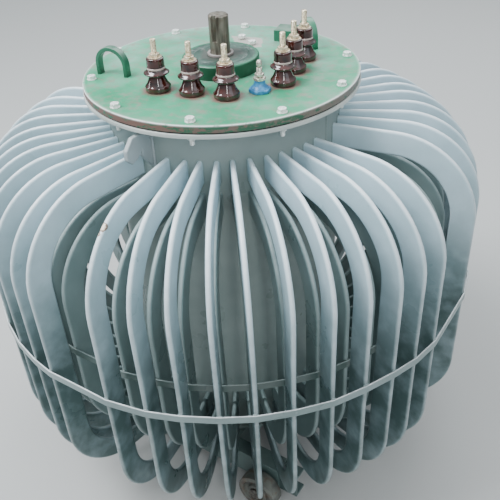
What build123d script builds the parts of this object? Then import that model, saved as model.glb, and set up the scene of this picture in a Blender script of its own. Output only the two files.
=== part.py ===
from build123d import *
import os
from math import cos, pi, sin

# An oil-immersed induction voltage regulator: a round tank with a bolted cover, porcelain bushings
# and a shaft on top, and a cage of bent flat tubes around it in which the oil cools. It stands on
# four rollers. Lengths are in millimetres, +Z is up, and the origin is on the floor at the axis.

# Rollers and their brackets
ROLLER_RADIUS = 60
ROLLER_WIDTH = 40
ROLLER_RIM = 14
ROLLER_RECESS = 9
ROLLER_HUB_RADIUS = 30
ROLLER_SPREAD_X = 300
AXLE_RADIUS = 15
AXLE_COLLAR_RADIUS = 22
AXLE_HEAD = 6
BRACKET_PLATE = 10
BRACKET_TOP = 8
BRACKET_LENGTH = 90
BRACKET_FOOT_HEIGHT = 30
BRACKET_SIDE_GAP = 7

# Base frame of rolled channels
BEAM_BOTTOM = 50
BEAM_HEIGHT = 80
BEAM_DEPTH = 43
BEAM_WEB = 6
BEAM_FLANGE = 8
BEAM_LENGTH = 800
BEAM_SPREAD_Y = 335
CROSS_SPREAD_X = 180

# Tank
TANK_RADIUS = 300
TANK_WALL = 6
TANK_WALL_HEIGHT = 969
BOTTOM_LIP = 12
BOTTOM_THICKNESS = 10

# Flange, gasket, cover and the bolts that hold them together; the lips are measured out from the
# tank's wall, the insets in from the edge of the cover
FLANGE_LIP = 52
FLANGE_THICKNESS = 10
GASKET_INSET = 3
GASKET_THICKNESS = 3
COVER_LIP = 50
COVER_THICKNESS = 18
COVER_EDGE = 1.5
BOLT_COUNT = 10
BOLT_INSET = 23
BOLT_FIRST_ANGLE = 4.5
BOLT_RADIUS = 6
BOLT_HOLE_RADIUS = 7
BOLT_HEAD_ACROSS = 19
BOLT_HEAD_HEIGHT = 8
BOLT_NUT_HEIGHT = 11
BOLT_TAIL = 14
WASHER_RADIUS = 12
WASHER_THICKNESS = 2.5

# Shaft, its bearing hub and the seal ring
JOURNAL_RADIUS = 26
SHAFT_RADIUS = 25
SHAFT_RISE = 134
SHAFT_DROP = 60
SHAFT_CHAMFER = 3
KEYWAY_WIDTH = 14
KEYWAY_DEPTH = 5.5
KEYWAY_LENGTH = 62
KEYWAY_ANGLE = -86
COLLAR_RADIUS = 38
COLLAR_HEIGHT = 8
HUB_RADIUS = 97
HUB_HEIGHT = 35
HUB_EDGE = 3
SEAL_RADIUS = 33
SEAL_HEIGHT = 6

# Porcelain bushings with their brass studs, in two rows at right angles
ROW_TURN = 12.5
ROW_SPACING = 88
BUSHINGS_PER_ROW = 3
FRONT_ROW_DISTANCE = 176
FRONT_ROW_OFFSET = -3
SIDE_ROW_DISTANCE = 187
SIDE_ROW_OFFSET = 19
BUSHING_FOOT_RADIUS = 31
BUSHING_FOOT_EDGE = 3
BUSHING_FOOT_HEIGHT = 13
BUSHING_BELL_RADIUS = 23
BUSHING_BELL_HEIGHT = 25
BUSHING_WAIST_RADIUS = 18.5
BUSHING_WAIST_HEIGHT = 38
BUSHING_SHED_RADIUS = 30.5
BUSHING_SHED_LOW = 42
BUSHING_SHED_HIGH = 46
BUSHING_NECK_RADIUS = 22
BUSHING_NECK_HEIGHT = 54
BUSHING_CAP_RADIUS = 21
BUSHING_CAP_LOW = 58
BUSHING_HEIGHT = 80
BUSHING_CAP_ROUND = 3
STUD_RADIUS = 7
STUD_CHAMFER = 1
STUD_TOP = 124
STUD_NUT_ACROSS = 22
STUD_NUT_HEIGHT = 8
STUD_WASHER_RADIUS = 17
STUD_WASHER_HEIGHT = 2

# Filling fitting beside the front row
FITTING_X = 172
FITTING_Y = -91
FITTING_ACROSS = 48
FITTING_HEX_HEIGHT = 9
FITTING_NECK_RADIUS = 13
FITTING_HEIGHT = 28
PLUG_ACROSS = 26
PLUG_HEX_HEIGHT = 15
PLUG_TIP_RADIUS = 7
PLUG_TIP_HEIGHT = 32

# Lifting eyes and drive seat on the cover, each by its angle and its inset from the cover's edge
EYE_WIDTH = 90
EYE_HEIGHT = 72
EYE_BAR = 10
EYE_DEPTH = 20
EYE_INSET = 78
EYE_LEFT_ANGLE = -143.5
EYE_LEFT_TURN = 8
EYE_RIGHT_ANGLE = 64.5
EYE_RIGHT_TURN = -40
SEAT_SIDE = 60
SEAT_HEIGHT = 30
SEAT_INSET = 80
SEAT_ANGLE = 81.7

# Lifting lugs on the tank neck, measured outwards from the tank wall and down from the cover's top
LUG_THICKNESS = 12
LUG_TOP_DROP = 41
LUG_REACH = 87
LUG_CORNER = 24
LUG_NOSE_DROP = 102
LUG_NOSE_BEVEL = 14
LUG_NOTCH_OUTER = 52
LUG_NOTCH_INNER = 37
LUG_NOTCH_DROP = 81
LUG_TOE_DROP = 96
LUG_TOE_REACH = 23
LUG_TOE_LOW_DROP = 115
LUG_HEEL_DROP = 143

# Cooling tubes: flat section, two nested sets of C-shaped tubes in radial planes. The angles are
# counted from the X axis; the tubes were set by hand, so their steps differ by a degree or two.
TUBE_DEPTH = 62
TUBE_THICKNESS = 12
TUBE_NOSE_CUT = 3
TUBE_ANGLES = [9.4, 16.2, 22.6, 29.7, 36.9, 44.7, 52.2, 59.1, 66.6, 73.5, 82.1]
TUBE_ANGLES_OTHER_HAND = [8.5, 16.9, 24.6, 32.6, 40.8, 47.8, 55.0, 62.1, 69.5, 77.1, 82.6]
OUTER_TUBE_RADIUS = 672
OUTER_TUBE_TOP_DROP = 109
OUTER_TUBE_BOTTOM_DROP = 985
OUTER_TUBE_TOP_BEND = 214
OUTER_TUBE_BOTTOM_BEND = 200
OUTER_BEND_CHORDS = 5
TUBE_NEST_GAP = 15
TUBE_NEST_GAP_TOP = 24
TUBE_NEST_GAP_BOTTOM = 8
INNER_TUBE_TOP_BEND = 205
INNER_TUBE_BOTTOM_BEND = 250
INNER_BEND_CHORDS = 4

# Flat bars welded round the tubes
BELT_WIDTH = 20
BELT_THICKNESS = 4
BELT_WELD_GAP = 0.8
OUTER_BELT_DROP = 542
INNER_BELT_DROP = 523

# Clearances
SHAFT_CLEARANCE = 0.05
COLLAR_CLEARANCE = 0.3
AXLE_CLEARANCE = 0.05
BRACKET_HOLE_CLEARANCE = 0.2

# Sizes and heights that follow from the sizes above
BOTTOM_RADIUS = TANK_RADIUS + BOTTOM_LIP
FLANGE_RADIUS = TANK_RADIUS + FLANGE_LIP
COVER_RADIUS = TANK_RADIUS + COVER_LIP
GASKET_RADIUS = COVER_RADIUS - GASKET_INSET
BOLT_CIRCLE_RADIUS = COVER_RADIUS - BOLT_INSET
INNER_TUBE_RADIUS = OUTER_TUBE_RADIUS - TUBE_DEPTH - TUBE_NEST_GAP
INNER_TUBE_TOP_DROP = OUTER_TUBE_TOP_DROP + TUBE_DEPTH + TUBE_NEST_GAP_TOP
INNER_TUBE_BOTTOM_DROP = OUTER_TUBE_BOTTOM_DROP - TUBE_DEPTH - TUBE_NEST_GAP_BOTTOM
TANK_FLOOR = BEAM_BOTTOM + BEAM_HEIGHT
WALL_BOTTOM = TANK_FLOOR + BOTTOM_THICKNESS
WALL_TOP = WALL_BOTTOM + TANK_WALL_HEIGHT
GASKET_BOTTOM = WALL_TOP + FLANGE_THICKNESS
COVER_BOTTOM = GASKET_BOTTOM + GASKET_THICKNESS
COVER_TOP = COVER_BOTTOM + COVER_THICKNESS
HUB_TOP = COVER_TOP + HUB_HEIGHT

os.makedirs("parts", exist_ok=True)


def save(name, *solids):
    """Writes the solids of one node."""
    shape = solids[0] if len(solids) == 1 else Compound(children=list(solids))
    export_step(shape, f"parts/{name}.step")


def turned(points):
    """A solid of revolution about Z from (radius, height) points."""
    face = make_face(Polyline(*[(r, 0, z) for r, z in points], close=True).edges())
    return revolve(face, Axis.Z)


def disc(radius, low, height):
    """A plain round solid on the axis, from its low face up."""
    return Pos(0, 0, low) * Cylinder(radius, height, align=(Align.CENTER, Align.CENTER, Align.MIN))


def hexagon(across, low, height):
    """A hexagonal prism on the axis, given its width across the flats."""
    outline = RegularPolygon(across / 2, 6, major_radius=False)
    return Pos(0, 0, low) * extrude(outline, height)


def around(solid, angles, radius=0):
    """Copies of a solid turned about Z, each first moved out along X."""
    return [Rot(0, 0, angle) * Pos(radius, 0, 0) * solid for angle in angles]


# Rollers: cast wheels with a deep rim and a hub, each on its own fixed axle
ROLLER_BORE = AXLE_RADIUS + AXLE_CLEARANCE
ROLLER_NEAR = BEAM_SPREAD_Y + BRACKET_PLATE + BRACKET_SIDE_GAP
ROLLER_MIDDLE = ROLLER_NEAR + ROLLER_WIDTH / 2
half_width = ROLLER_WIDTH / 2
rim_inner = ROLLER_RADIUS - ROLLER_RIM
web_half = half_width - ROLLER_RECESS
wheel = turned([
    (ROLLER_BORE, -half_width), (ROLLER_HUB_RADIUS, -half_width), (ROLLER_HUB_RADIUS, -web_half),
    (rim_inner, -web_half), (rim_inner, -half_width), (ROLLER_RADIUS, -half_width),
    (ROLLER_RADIUS, half_width), (rim_inner, half_width), (rim_inner, web_half),
    (ROLLER_HUB_RADIUS, web_half), (ROLLER_HUB_RADIUS, half_width), (ROLLER_BORE, half_width),
])
corners = [(1, -1), (-1, -1), (-1, 1), (1, 1)]
corner_names = ["front_right", "front_left", "rear_left", "rear_right"]
for name, (side_x, side_y) in zip(corner_names, corners):
    place = Pos(side_x * ROLLER_SPREAD_X, side_y * ROLLER_MIDDLE, ROLLER_RADIUS)
    save(f"roller_{name}", place * Rot(90, 0, 0) * wheel)

# Axles: a stub that stands out of the bracket, with a collar behind the roller and a head before it
collar_in = BRACKET_SIDE_GAP + half_width
collar_out = half_width + COLLAR_CLEARANCE
axle = turned([
    (0, -collar_in - BRACKET_PLATE), (AXLE_RADIUS, -collar_in - BRACKET_PLATE),
    (AXLE_RADIUS, -collar_in), (AXLE_COLLAR_RADIUS, -collar_in), (AXLE_COLLAR_RADIUS, -collar_out),
    (AXLE_RADIUS, -collar_out), (AXLE_RADIUS, collar_out), (AXLE_COLLAR_RADIUS, collar_out),
    (AXLE_COLLAR_RADIUS, collar_out + AXLE_HEAD), (0, collar_out + AXLE_HEAD),
])
axles = []
for side_x, side_y in corners:
    place = Pos(side_x * ROLLER_SPREAD_X, side_y * ROLLER_MIDDLE, ROLLER_RADIUS)
    axles.append(place * Rot(-90 * side_y, 0, 0) * axle)
save("roller_axles", *axles)

# Brackets: an angle of plate on the beam behind each roller, bored for the axle
bracket_near = BEAM_SPREAD_Y
bracket_far = bracket_near + BRACKET_PLATE
bracket_outline = Polyline(
    (0, bracket_near, BRACKET_FOOT_HEIGHT),
    (0, bracket_far, BRACKET_FOOT_HEIGHT),
    (0, bracket_far, TANK_FLOOR + BRACKET_TOP),
    (0, bracket_near - BEAM_DEPTH, TANK_FLOOR + BRACKET_TOP),
    (0, bracket_near - BEAM_DEPTH, TANK_FLOOR),
    (0, bracket_near, TANK_FLOOR),
    close=True,
)
bracket = extrude(make_face(bracket_outline.edges()), BRACKET_LENGTH / 2, dir=(1, 0, 0), both=True)
axle_hole = Pos(0, ROLLER_MIDDLE, ROLLER_RADIUS) * Rot(90, 0, 0) * Cylinder(
    AXLE_RADIUS + BRACKET_HOLE_CLEARANCE, 2 * (ROLLER_MIDDLE - bracket_near + BRACKET_PLATE)
)
bracket -= axle_hole
brackets = []
for side_x, side_y in corners:
    turn = 0 if side_y > 0 else 180
    brackets.append(Pos(side_x * ROLLER_SPREAD_X, 0, 0) * Rot(0, 0, turn) * bracket)
save("roller_brackets", *brackets)


def channel(length):
    """A channel along X with its web on the +Y side, its outer face at y = 0 and its foot at z = 0."""
    outline = Polyline(
        (0, 0, 0), (0, 0, BEAM_HEIGHT), (0, -BEAM_DEPTH, BEAM_HEIGHT),
        (0, -BEAM_DEPTH, BEAM_HEIGHT - BEAM_FLANGE), (0, -BEAM_WEB, BEAM_HEIGHT - BEAM_FLANGE),
        (0, -BEAM_WEB, BEAM_FLANGE), (0, -BEAM_DEPTH, BEAM_FLANGE), (0, -BEAM_DEPTH, 0),
        close=True,
    )
    return extrude(make_face(outline.edges()), length / 2, dir=(1, 0, 0), both=True)


# Base frame: two long beams that carry the brackets, and two cross members between them
beam = Pos(0, BEAM_SPREAD_Y, BEAM_BOTTOM) * channel(BEAM_LENGTH)
cross_length = 2 * (BEAM_SPREAD_Y - BEAM_DEPTH)
cross = Pos(CROSS_SPREAD_X, 0, BEAM_BOTTOM) * Rot(0, 0, -90) * channel(cross_length)
save("base_beam_rear", beam)
save("base_beam_front", Rot(0, 0, 180) * beam)
save("base_cross_right", cross)
save("base_cross_left", Rot(0, 0, 180) * cross)

# Tank: bottom plate, a rolled wall in two halves welded at the sides, and the neck flange
save("tank_bottom", disc(BOTTOM_RADIUS, TANK_FLOOR, BOTTOM_THICKNESS))
tank_bore = TANK_RADIUS - TANK_WALL
wall = disc(TANK_RADIUS, WALL_BOTTOM, TANK_WALL_HEIGHT) - disc(tank_bore, WALL_BOTTOM, TANK_WALL_HEIGHT)
save("tank_wall_rear", split(wall, Plane.XZ, keep=Keep.BOTTOM))
save("tank_wall_front", split(wall, Plane.XZ, keep=Keep.TOP))

bolt_angles = [BOLT_FIRST_ANGLE + 360 / BOLT_COUNT * k for k in range(BOLT_COUNT)]
bolt_hole = disc(BOLT_HOLE_RADIUS, WALL_TOP, COVER_TOP - WALL_TOP)
bolt_holes = around(bolt_hole, bolt_angles, BOLT_CIRCLE_RADIUS)
flange = disc(FLANGE_RADIUS, WALL_TOP, FLANGE_THICKNESS) - disc(tank_bore, WALL_TOP, FLANGE_THICKNESS)
save("tank_flange", flange - bolt_holes)
gasket = disc(GASKET_RADIUS, GASKET_BOTTOM, GASKET_THICKNESS)
gasket -= disc(tank_bore, GASKET_BOTTOM, GASKET_THICKNESS)
save("cover_gasket", gasket - bolt_holes)

# Cover: a machined disc with a softened edge, bored for the shaft and the bolts
cover = turned([
    (0, COVER_BOTTOM), (COVER_RADIUS - COVER_EDGE, COVER_BOTTOM),
    (COVER_RADIUS, COVER_BOTTOM + COVER_EDGE), (COVER_RADIUS, COVER_TOP - COVER_EDGE),
    (COVER_RADIUS - COVER_EDGE, COVER_TOP), (0, COVER_TOP),
])
cover -= disc(JOURNAL_RADIUS + SHAFT_CLEARANCE, COVER_BOTTOM, COVER_THICKNESS)
save("cover_plate", cover - bolt_holes)

# Bolts through cover, gasket and flange, with a washer above and a nut below
bolt_tail_end = WALL_TOP - BOLT_NUT_HEIGHT - BOLT_TAIL
bolt = disc(BOLT_RADIUS, bolt_tail_end, COVER_TOP - bolt_tail_end)
bolt += disc(WASHER_RADIUS, COVER_TOP, WASHER_THICKNESS)
bolt += hexagon(BOLT_HEAD_ACROSS, COVER_TOP + WASHER_THICKNESS, BOLT_HEAD_HEIGHT)
bolt += hexagon(BOLT_HEAD_ACROSS, WALL_TOP - BOLT_NUT_HEIGHT, BOLT_NUT_HEIGHT)
save("cover_bolts", *around(bolt, bolt_angles, BOLT_CIRCLE_RADIUS))

# Hub: holds the shaft's thrust collar down in a pocket on the cover
pocket_radius = COLLAR_RADIUS + COLLAR_CLEARANCE
pocket_top = COVER_TOP + COLLAR_HEIGHT + 2 * COLLAR_CLEARANCE
hub = turned([
    (pocket_radius, COVER_TOP), (HUB_RADIUS, COVER_TOP), (HUB_RADIUS, HUB_TOP - HUB_EDGE),
    (HUB_RADIUS - HUB_EDGE, HUB_TOP), (JOURNAL_RADIUS + SHAFT_CLEARANCE, HUB_TOP),
    (JOURNAL_RADIUS + SHAFT_CLEARANCE, pocket_top), (pocket_radius, pocket_top),
])
save("bearing_hub", hub)
seal_bore = JOURNAL_RADIUS + SHAFT_CLEARANCE
seal = disc(SEAL_RADIUS, HUB_TOP, SEAL_HEIGHT) - disc(seal_bore, HUB_TOP, SEAL_HEIGHT)
save("seal_ring", seal)

# Shaft: journal and thrust collar below, a keyed end above for the turning drive
shaft_top = COVER_TOP + SHAFT_RISE
shaft_foot = COVER_TOP - SHAFT_DROP
collar_low = COVER_TOP + COLLAR_CLEARANCE
collar_high = collar_low + COLLAR_HEIGHT
shoulder = HUB_TOP + SEAL_HEIGHT
shaft = turned([
    (0, shaft_foot), (JOURNAL_RADIUS, shaft_foot), (JOURNAL_RADIUS, collar_low),
    (COLLAR_RADIUS, collar_low), (COLLAR_RADIUS, collar_high), (JOURNAL_RADIUS, collar_high),
    (JOURNAL_RADIUS, shoulder), (SHAFT_RADIUS, shoulder), (SHAFT_RADIUS, shaft_top - SHAFT_CHAMFER),
    (SHAFT_RADIUS - SHAFT_CHAMFER, shaft_top), (0, shaft_top),
])
keyway = Pos(SHAFT_RADIUS, 0, shaft_top - KEYWAY_LENGTH / 2) * Box(
    2 * KEYWAY_DEPTH, KEYWAY_WIDTH, KEYWAY_LENGTH
)
save("rotor_shaft", Rot(0, 0, KEYWAY_ANGLE) * (shaft - keyway))

# Bushings: glazed porcelain with a bell-shaped foot, one sharp shed and a short round cap
bushing = turned([
    (0, COVER_TOP), (BUSHING_FOOT_RADIUS - BUSHING_FOOT_EDGE, COVER_TOP),
    (BUSHING_FOOT_RADIUS, COVER_TOP + BUSHING_FOOT_EDGE),
    (BUSHING_FOOT_RADIUS, COVER_TOP + BUSHING_FOOT_HEIGHT),
    (BUSHING_BELL_RADIUS, COVER_TOP + BUSHING_BELL_HEIGHT),
    (BUSHING_WAIST_RADIUS, COVER_TOP + BUSHING_WAIST_HEIGHT),
    (BUSHING_SHED_RADIUS, COVER_TOP + BUSHING_SHED_LOW),
    (BUSHING_SHED_RADIUS, COVER_TOP + BUSHING_SHED_HIGH),
    (BUSHING_NECK_RADIUS, COVER_TOP + BUSHING_NECK_HEIGHT),
    (BUSHING_CAP_RADIUS, COVER_TOP + BUSHING_CAP_LOW),
    (BUSHING_CAP_RADIUS, COVER_TOP + BUSHING_HEIGHT - BUSHING_CAP_ROUND),
    (BUSHING_CAP_RADIUS - BUSHING_CAP_ROUND, COVER_TOP + BUSHING_HEIGHT),
    (0, COVER_TOP + BUSHING_HEIGHT),
])

stud_washer_top = BUSHING_HEIGHT + STUD_WASHER_HEIGHT
stud_nut_top = stud_washer_top + STUD_NUT_HEIGHT
stud = turned([
    (0, COVER_TOP + BUSHING_HEIGHT), (STUD_WASHER_RADIUS, COVER_TOP + BUSHING_HEIGHT),
    (STUD_WASHER_RADIUS, COVER_TOP + stud_washer_top), (STUD_RADIUS, COVER_TOP + stud_washer_top),
    (STUD_RADIUS, COVER_TOP + STUD_TOP - STUD_CHAMFER),
    (STUD_RADIUS - STUD_CHAMFER, COVER_TOP + STUD_TOP), (0, COVER_TOP + STUD_TOP),
])
stud += hexagon(STUD_NUT_ACROSS, COVER_TOP + stud_washer_top, STUD_NUT_HEIGHT)

rows = {
    "front_row": (ROW_TURN, -FRONT_ROW_DISTANCE, FRONT_ROW_OFFSET),
    "side_row": (ROW_TURN + 90, -SIDE_ROW_DISTANCE, SIDE_ROW_OFFSET),
}
for name, (turn, distance, offset) in rows.items():
    steps = [ROW_SPACING * (k - (BUSHINGS_PER_ROW - 1) / 2) for k in range(BUSHINGS_PER_ROW)]
    places = [Rot(0, 0, turn) * Pos(offset + step, distance, 0) for step in steps]
    save(f"bushings_{name}", *[place * bushing for place in places])
    save(f"terminal_studs_{name}", *[place * stud for place in places])

# Filling fitting: a hexagon foot that flares in to a neck, with a hexagon plug on it
fitting_place = Pos(FITTING_X, FITTING_Y, COVER_TOP) * Rot(0, 0, ROW_TURN)
neck = turned([
    (0, FITTING_HEX_HEIGHT), (FITTING_ACROSS / 2, FITTING_HEX_HEIGHT),
    (FITTING_NECK_RADIUS + 2, 0.6 * FITTING_HEIGHT), (FITTING_NECK_RADIUS, FITTING_HEIGHT),
    (0, FITTING_HEIGHT),
])
save("fitting_base", fitting_place * (hexagon(FITTING_ACROSS, 0, FITTING_HEX_HEIGHT) + neck))
plug = hexagon(PLUG_ACROSS, FITTING_HEIGHT, PLUG_HEX_HEIGHT)
plug += disc(PLUG_TIP_RADIUS, FITTING_HEIGHT + PLUG_HEX_HEIGHT, PLUG_TIP_HEIGHT)
save("fitting_plug", fitting_place * plug)

# Lifting eyes: flat bar bent to a half ring on two short legs, welded on the cover
eye_outer = EYE_WIDTH / 2
eye_leg = EYE_HEIGHT - eye_outer
eye_path = [
    Line((-eye_outer + EYE_BAR / 2, 0, 0), (-eye_outer + EYE_BAR / 2, 0, eye_leg)),
    ThreePointArc(
        (-eye_outer + EYE_BAR / 2, 0, eye_leg), (0, 0, EYE_HEIGHT - EYE_BAR / 2),
        (eye_outer - EYE_BAR / 2, 0, eye_leg),
    ),
    Line((eye_outer - EYE_BAR / 2, 0, eye_leg), (eye_outer - EYE_BAR / 2, 0, 0)),
]
eye_section = Pos(-eye_outer + EYE_BAR / 2, 0, 0) * Rectangle(EYE_BAR, EYE_DEPTH)
eye = sweep(eye_section, path=Wire([edge for line in eye_path for edge in line.edges()]))


def on_cover(solid, inset, angle, turn):
    """A solid set on the cover at an angle and an inset from its edge, turned about its own axis."""
    place = Rot(0, 0, angle) * Pos(COVER_RADIUS - inset, 0, COVER_TOP)
    return place * Rot(0, 0, turn - angle) * solid


save("cover_eye_left", on_cover(eye, EYE_INSET, EYE_LEFT_ANGLE, EYE_LEFT_TURN))
save("cover_eye_right", on_cover(eye, EYE_INSET, EYE_RIGHT_ANGLE, EYE_RIGHT_TURN))

# Seat for the turning drive: a plain machined block
seat_box = Box(SEAT_SIDE, SEAT_SIDE, SEAT_HEIGHT, align=(Align.CENTER, Align.CENTER, Align.MIN))
save("drive_seat", on_cover(seat_box, SEAT_INSET, SEAT_ANGLE, ROW_TURN))

# Lifting lugs: flame-cut plates on the neck with a hook notch underneath
lug_points = [
    (0, -LUG_TOP_DROP), (LUG_REACH - LUG_CORNER, -LUG_TOP_DROP),
    (LUG_REACH, -LUG_TOP_DROP - LUG_CORNER), (LUG_REACH, -LUG_NOSE_DROP + LUG_NOSE_BEVEL),
    (LUG_REACH - LUG_NOSE_BEVEL, -LUG_NOSE_DROP), (LUG_NOTCH_OUTER, -LUG_NOSE_DROP + LUG_NOSE_BEVEL / 2),
    (LUG_NOTCH_INNER, -LUG_NOTCH_DROP), (LUG_NOTCH_INNER, -LUG_TOE_DROP),
    (LUG_TOE_REACH, -LUG_TOE_LOW_DROP), (0, -LUG_HEEL_DROP),
]
lug_outline = Polyline(*[(0, TANK_RADIUS + y, COVER_TOP + z) for y, z in lug_points], close=True)
lug = extrude(make_face(lug_outline.edges()), LUG_THICKNESS / 2, dir=(1, 0, 0), both=True)
save("tank_lug_rear", lug)
save("tank_lug_front", Rot(0, 0, 180) * lug)


def tube(reach, top_drop, bottom_drop, top_bend, bottom_bend, chords):
    """One C-shaped flat tube in the XZ plane, its bends drawn as chords of their arcs."""
    middle = TUBE_DEPTH / 2
    out = reach - middle
    high = COVER_TOP - top_drop - middle
    low = COVER_TOP - bottom_drop + middle
    top_radius = top_bend - middle
    bottom_radius = bottom_bend - middle
    steps = [pi / 2 * k / chords for k in range(chords + 1)]
    top_arc = [(out - top_radius * (1 - sin(a)), 0, high - top_radius * (1 - cos(a))) for a in steps]
    bottom_arc = [
        (out - bottom_radius * (1 - cos(a)), 0, low + bottom_radius * (1 - sin(a))) for a in steps
    ]
    path = Polyline((TANK_RADIUS, 0, high), *top_arc, *bottom_arc, (TANK_RADIUS, 0, low))
    outline = chamfer(Rectangle(TUBE_DEPTH, TUBE_THICKNESS).vertices(), TUBE_NOSE_CUT)
    section = Plane((TANK_RADIUS, 0, high), x_dir=(0, 0, 1), z_dir=(1, 0, 0)) * outline
    return sweep(section, path=path, transition=Transition.RIGHT)


# Cooling tubes: eleven of each set in every quadrant, the two sets in the same radial planes
outer_tube = tube(
    OUTER_TUBE_RADIUS, OUTER_TUBE_TOP_DROP, OUTER_TUBE_BOTTOM_DROP,
    OUTER_TUBE_TOP_BEND, OUTER_TUBE_BOTTOM_BEND, OUTER_BEND_CHORDS,
)
inner_tube = tube(
    INNER_TUBE_RADIUS, INNER_TUBE_TOP_DROP, INNER_TUBE_BOTTOM_DROP,
    INNER_TUBE_TOP_BEND, INNER_TUBE_BOTTOM_BEND, INNER_BEND_CHORDS,
)
quadrants = {
    "rear_right": TUBE_ANGLES_OTHER_HAND,
    "rear_left": [180 - angle for angle in TUBE_ANGLES],
    "front_left": [180 + angle for angle in TUBE_ANGLES_OTHER_HAND],
    "front_right": [-angle for angle in TUBE_ANGLES],
}
for name, angles in quadrants.items():
    save(f"outer_tubes_{name}", *around(outer_tube, angles))
    save(f"inner_tubes_{name}", *around(inner_tube, angles))


def belt(reach, top_drop):
    """A flat bar round the whole cage, straight from tube to tube."""
    angles = sorted(angle % 360 for angles in quadrants.values() for angle in angles)
    near = reach + BELT_WELD_GAP
    outlines = []
    for radius in (near + BELT_THICKNESS, near):
        points = [(radius * cos(a * pi / 180), radius * sin(a * pi / 180)) for a in angles]
        outlines.append(make_face(Polyline(*points, close=True).edges()))
    return Pos(0, 0, COVER_TOP - top_drop - BELT_WIDTH) * extrude(outlines[0] - outlines[1], BELT_WIDTH)


# Belts: one on the outer tubes and one on the inner tubes
save("outer_belt", belt(OUTER_TUBE_RADIUS, OUTER_BELT_DROP))
save("inner_belt", belt(INNER_TUBE_RADIUS, INNER_BELT_DROP))
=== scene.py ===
import bmesh
import bpy
import numpy as np
from mathutils import Matrix, Vector


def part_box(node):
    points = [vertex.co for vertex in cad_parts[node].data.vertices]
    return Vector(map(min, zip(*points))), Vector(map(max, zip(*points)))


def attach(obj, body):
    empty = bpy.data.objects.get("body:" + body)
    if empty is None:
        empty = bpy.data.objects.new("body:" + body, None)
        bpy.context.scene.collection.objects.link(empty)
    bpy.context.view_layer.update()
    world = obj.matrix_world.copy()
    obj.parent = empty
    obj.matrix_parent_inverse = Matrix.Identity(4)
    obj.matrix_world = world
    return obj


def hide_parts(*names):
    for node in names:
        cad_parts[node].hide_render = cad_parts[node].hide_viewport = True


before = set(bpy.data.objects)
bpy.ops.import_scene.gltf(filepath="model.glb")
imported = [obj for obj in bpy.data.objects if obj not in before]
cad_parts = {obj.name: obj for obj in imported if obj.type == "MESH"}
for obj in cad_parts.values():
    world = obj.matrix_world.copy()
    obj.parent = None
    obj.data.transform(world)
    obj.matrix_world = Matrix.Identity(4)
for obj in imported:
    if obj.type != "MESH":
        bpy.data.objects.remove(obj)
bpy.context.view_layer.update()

# Base frame: two long channels and two cross channels under the tank, rolled steel, welded and brushed over
# with the tank's grey enamel. Road dirt mixed with painted shade, and thin rust, lie on what faces down.
MM = 0.001
MERGED = 1e-6
BASE_EDGE = 0.8 * MM
FLAT_WITHIN, CORNER_FROM = 0.01, 0.6
CLOUD = 160 * MM
DUST_PATCH = 40 * MM
SHADE_AND_DIRT_PATCH = 55 * MM
RUST_SPECK = 14 * MM
ORANGE_PEEL, PEEL_HEIGHT = 6 * MM, 0.12 * MM
LIT_AND_CLEAN_FROM, SHADED_AND_SOILED_FROM = 1080 * MM, 600 * MM


def linear(code):
    """The linear colour of an sRGB hex value: the straight part near black, the power curve above."""
    channels = [int(code[k:k + 2], 16) / 255 for k in (1, 3, 5)]
    return tuple(c / 12.92 if c <= 0.04045 else ((c + 0.055) / 1.055) ** 2.4 for c in channels) + (1.0,)


def add(tree, kind, out=0, **settings):
    """Adds a node and gives one of its outputs, by number or name. A setting is an attribute of the
    node or, with underscores for spaces, one of its inputs, and i6 is the input numbered 6. A socket
    is linked to the input, and anything else becomes its value."""
    made = tree.nodes.new("ShaderNode" + kind)
    for key, value in settings.items():
        if hasattr(made, key):
            setattr(made, key, value)
            continue
        slot = made.inputs[int(key[1:]) if key[1:].isdigit() else key.replace("_", " ")]
        if isinstance(value, bpy.types.NodeSocket):
            tree.links.new(value, slot)
        else:
            slot.default_value = value
    return made.outputs[out] if made.outputs else None


def new_material(name):
    """A material with an empty node tree: (material, tree)."""
    material = bpy.data.materials.new(name)
    material.use_nodes = True
    material.node_tree.nodes.clear()
    return material, material.node_tree


def two_tones(tree, place, size, dark, light, low=0.35, high=0.65, **noise):
    """A surface in two tones, as (noise, colour): noise with patches of the given size, spread
    between a low and a high level, leads from the dark tone to the light one."""
    cloud = add(tree, "TexNoise", Vector=place, Scale=1 / size, **noise)
    tone = add(tree, "MapRange", Value=cloud, From_Min=low, From_Max=high)
    return cloud, add(tree, "Mix", 2, data_type="RGBA", i0=tone, i6=linear(dark), i7=linear(light))


def laid_over(tree, colour, mark, low, high, most, over):
    """A colour with another one over it: the cover grows from none to the most while the mark goes
    from the low to the high level, which may also be a fall."""
    share = add(tree, "MapRange", Value=mark, From_Min=low, From_Max=high, To_Max=most)
    return add(tree, "Mix", 2, data_type="RGBA", i0=share, i6=colour, i7=linear(over))


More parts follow.
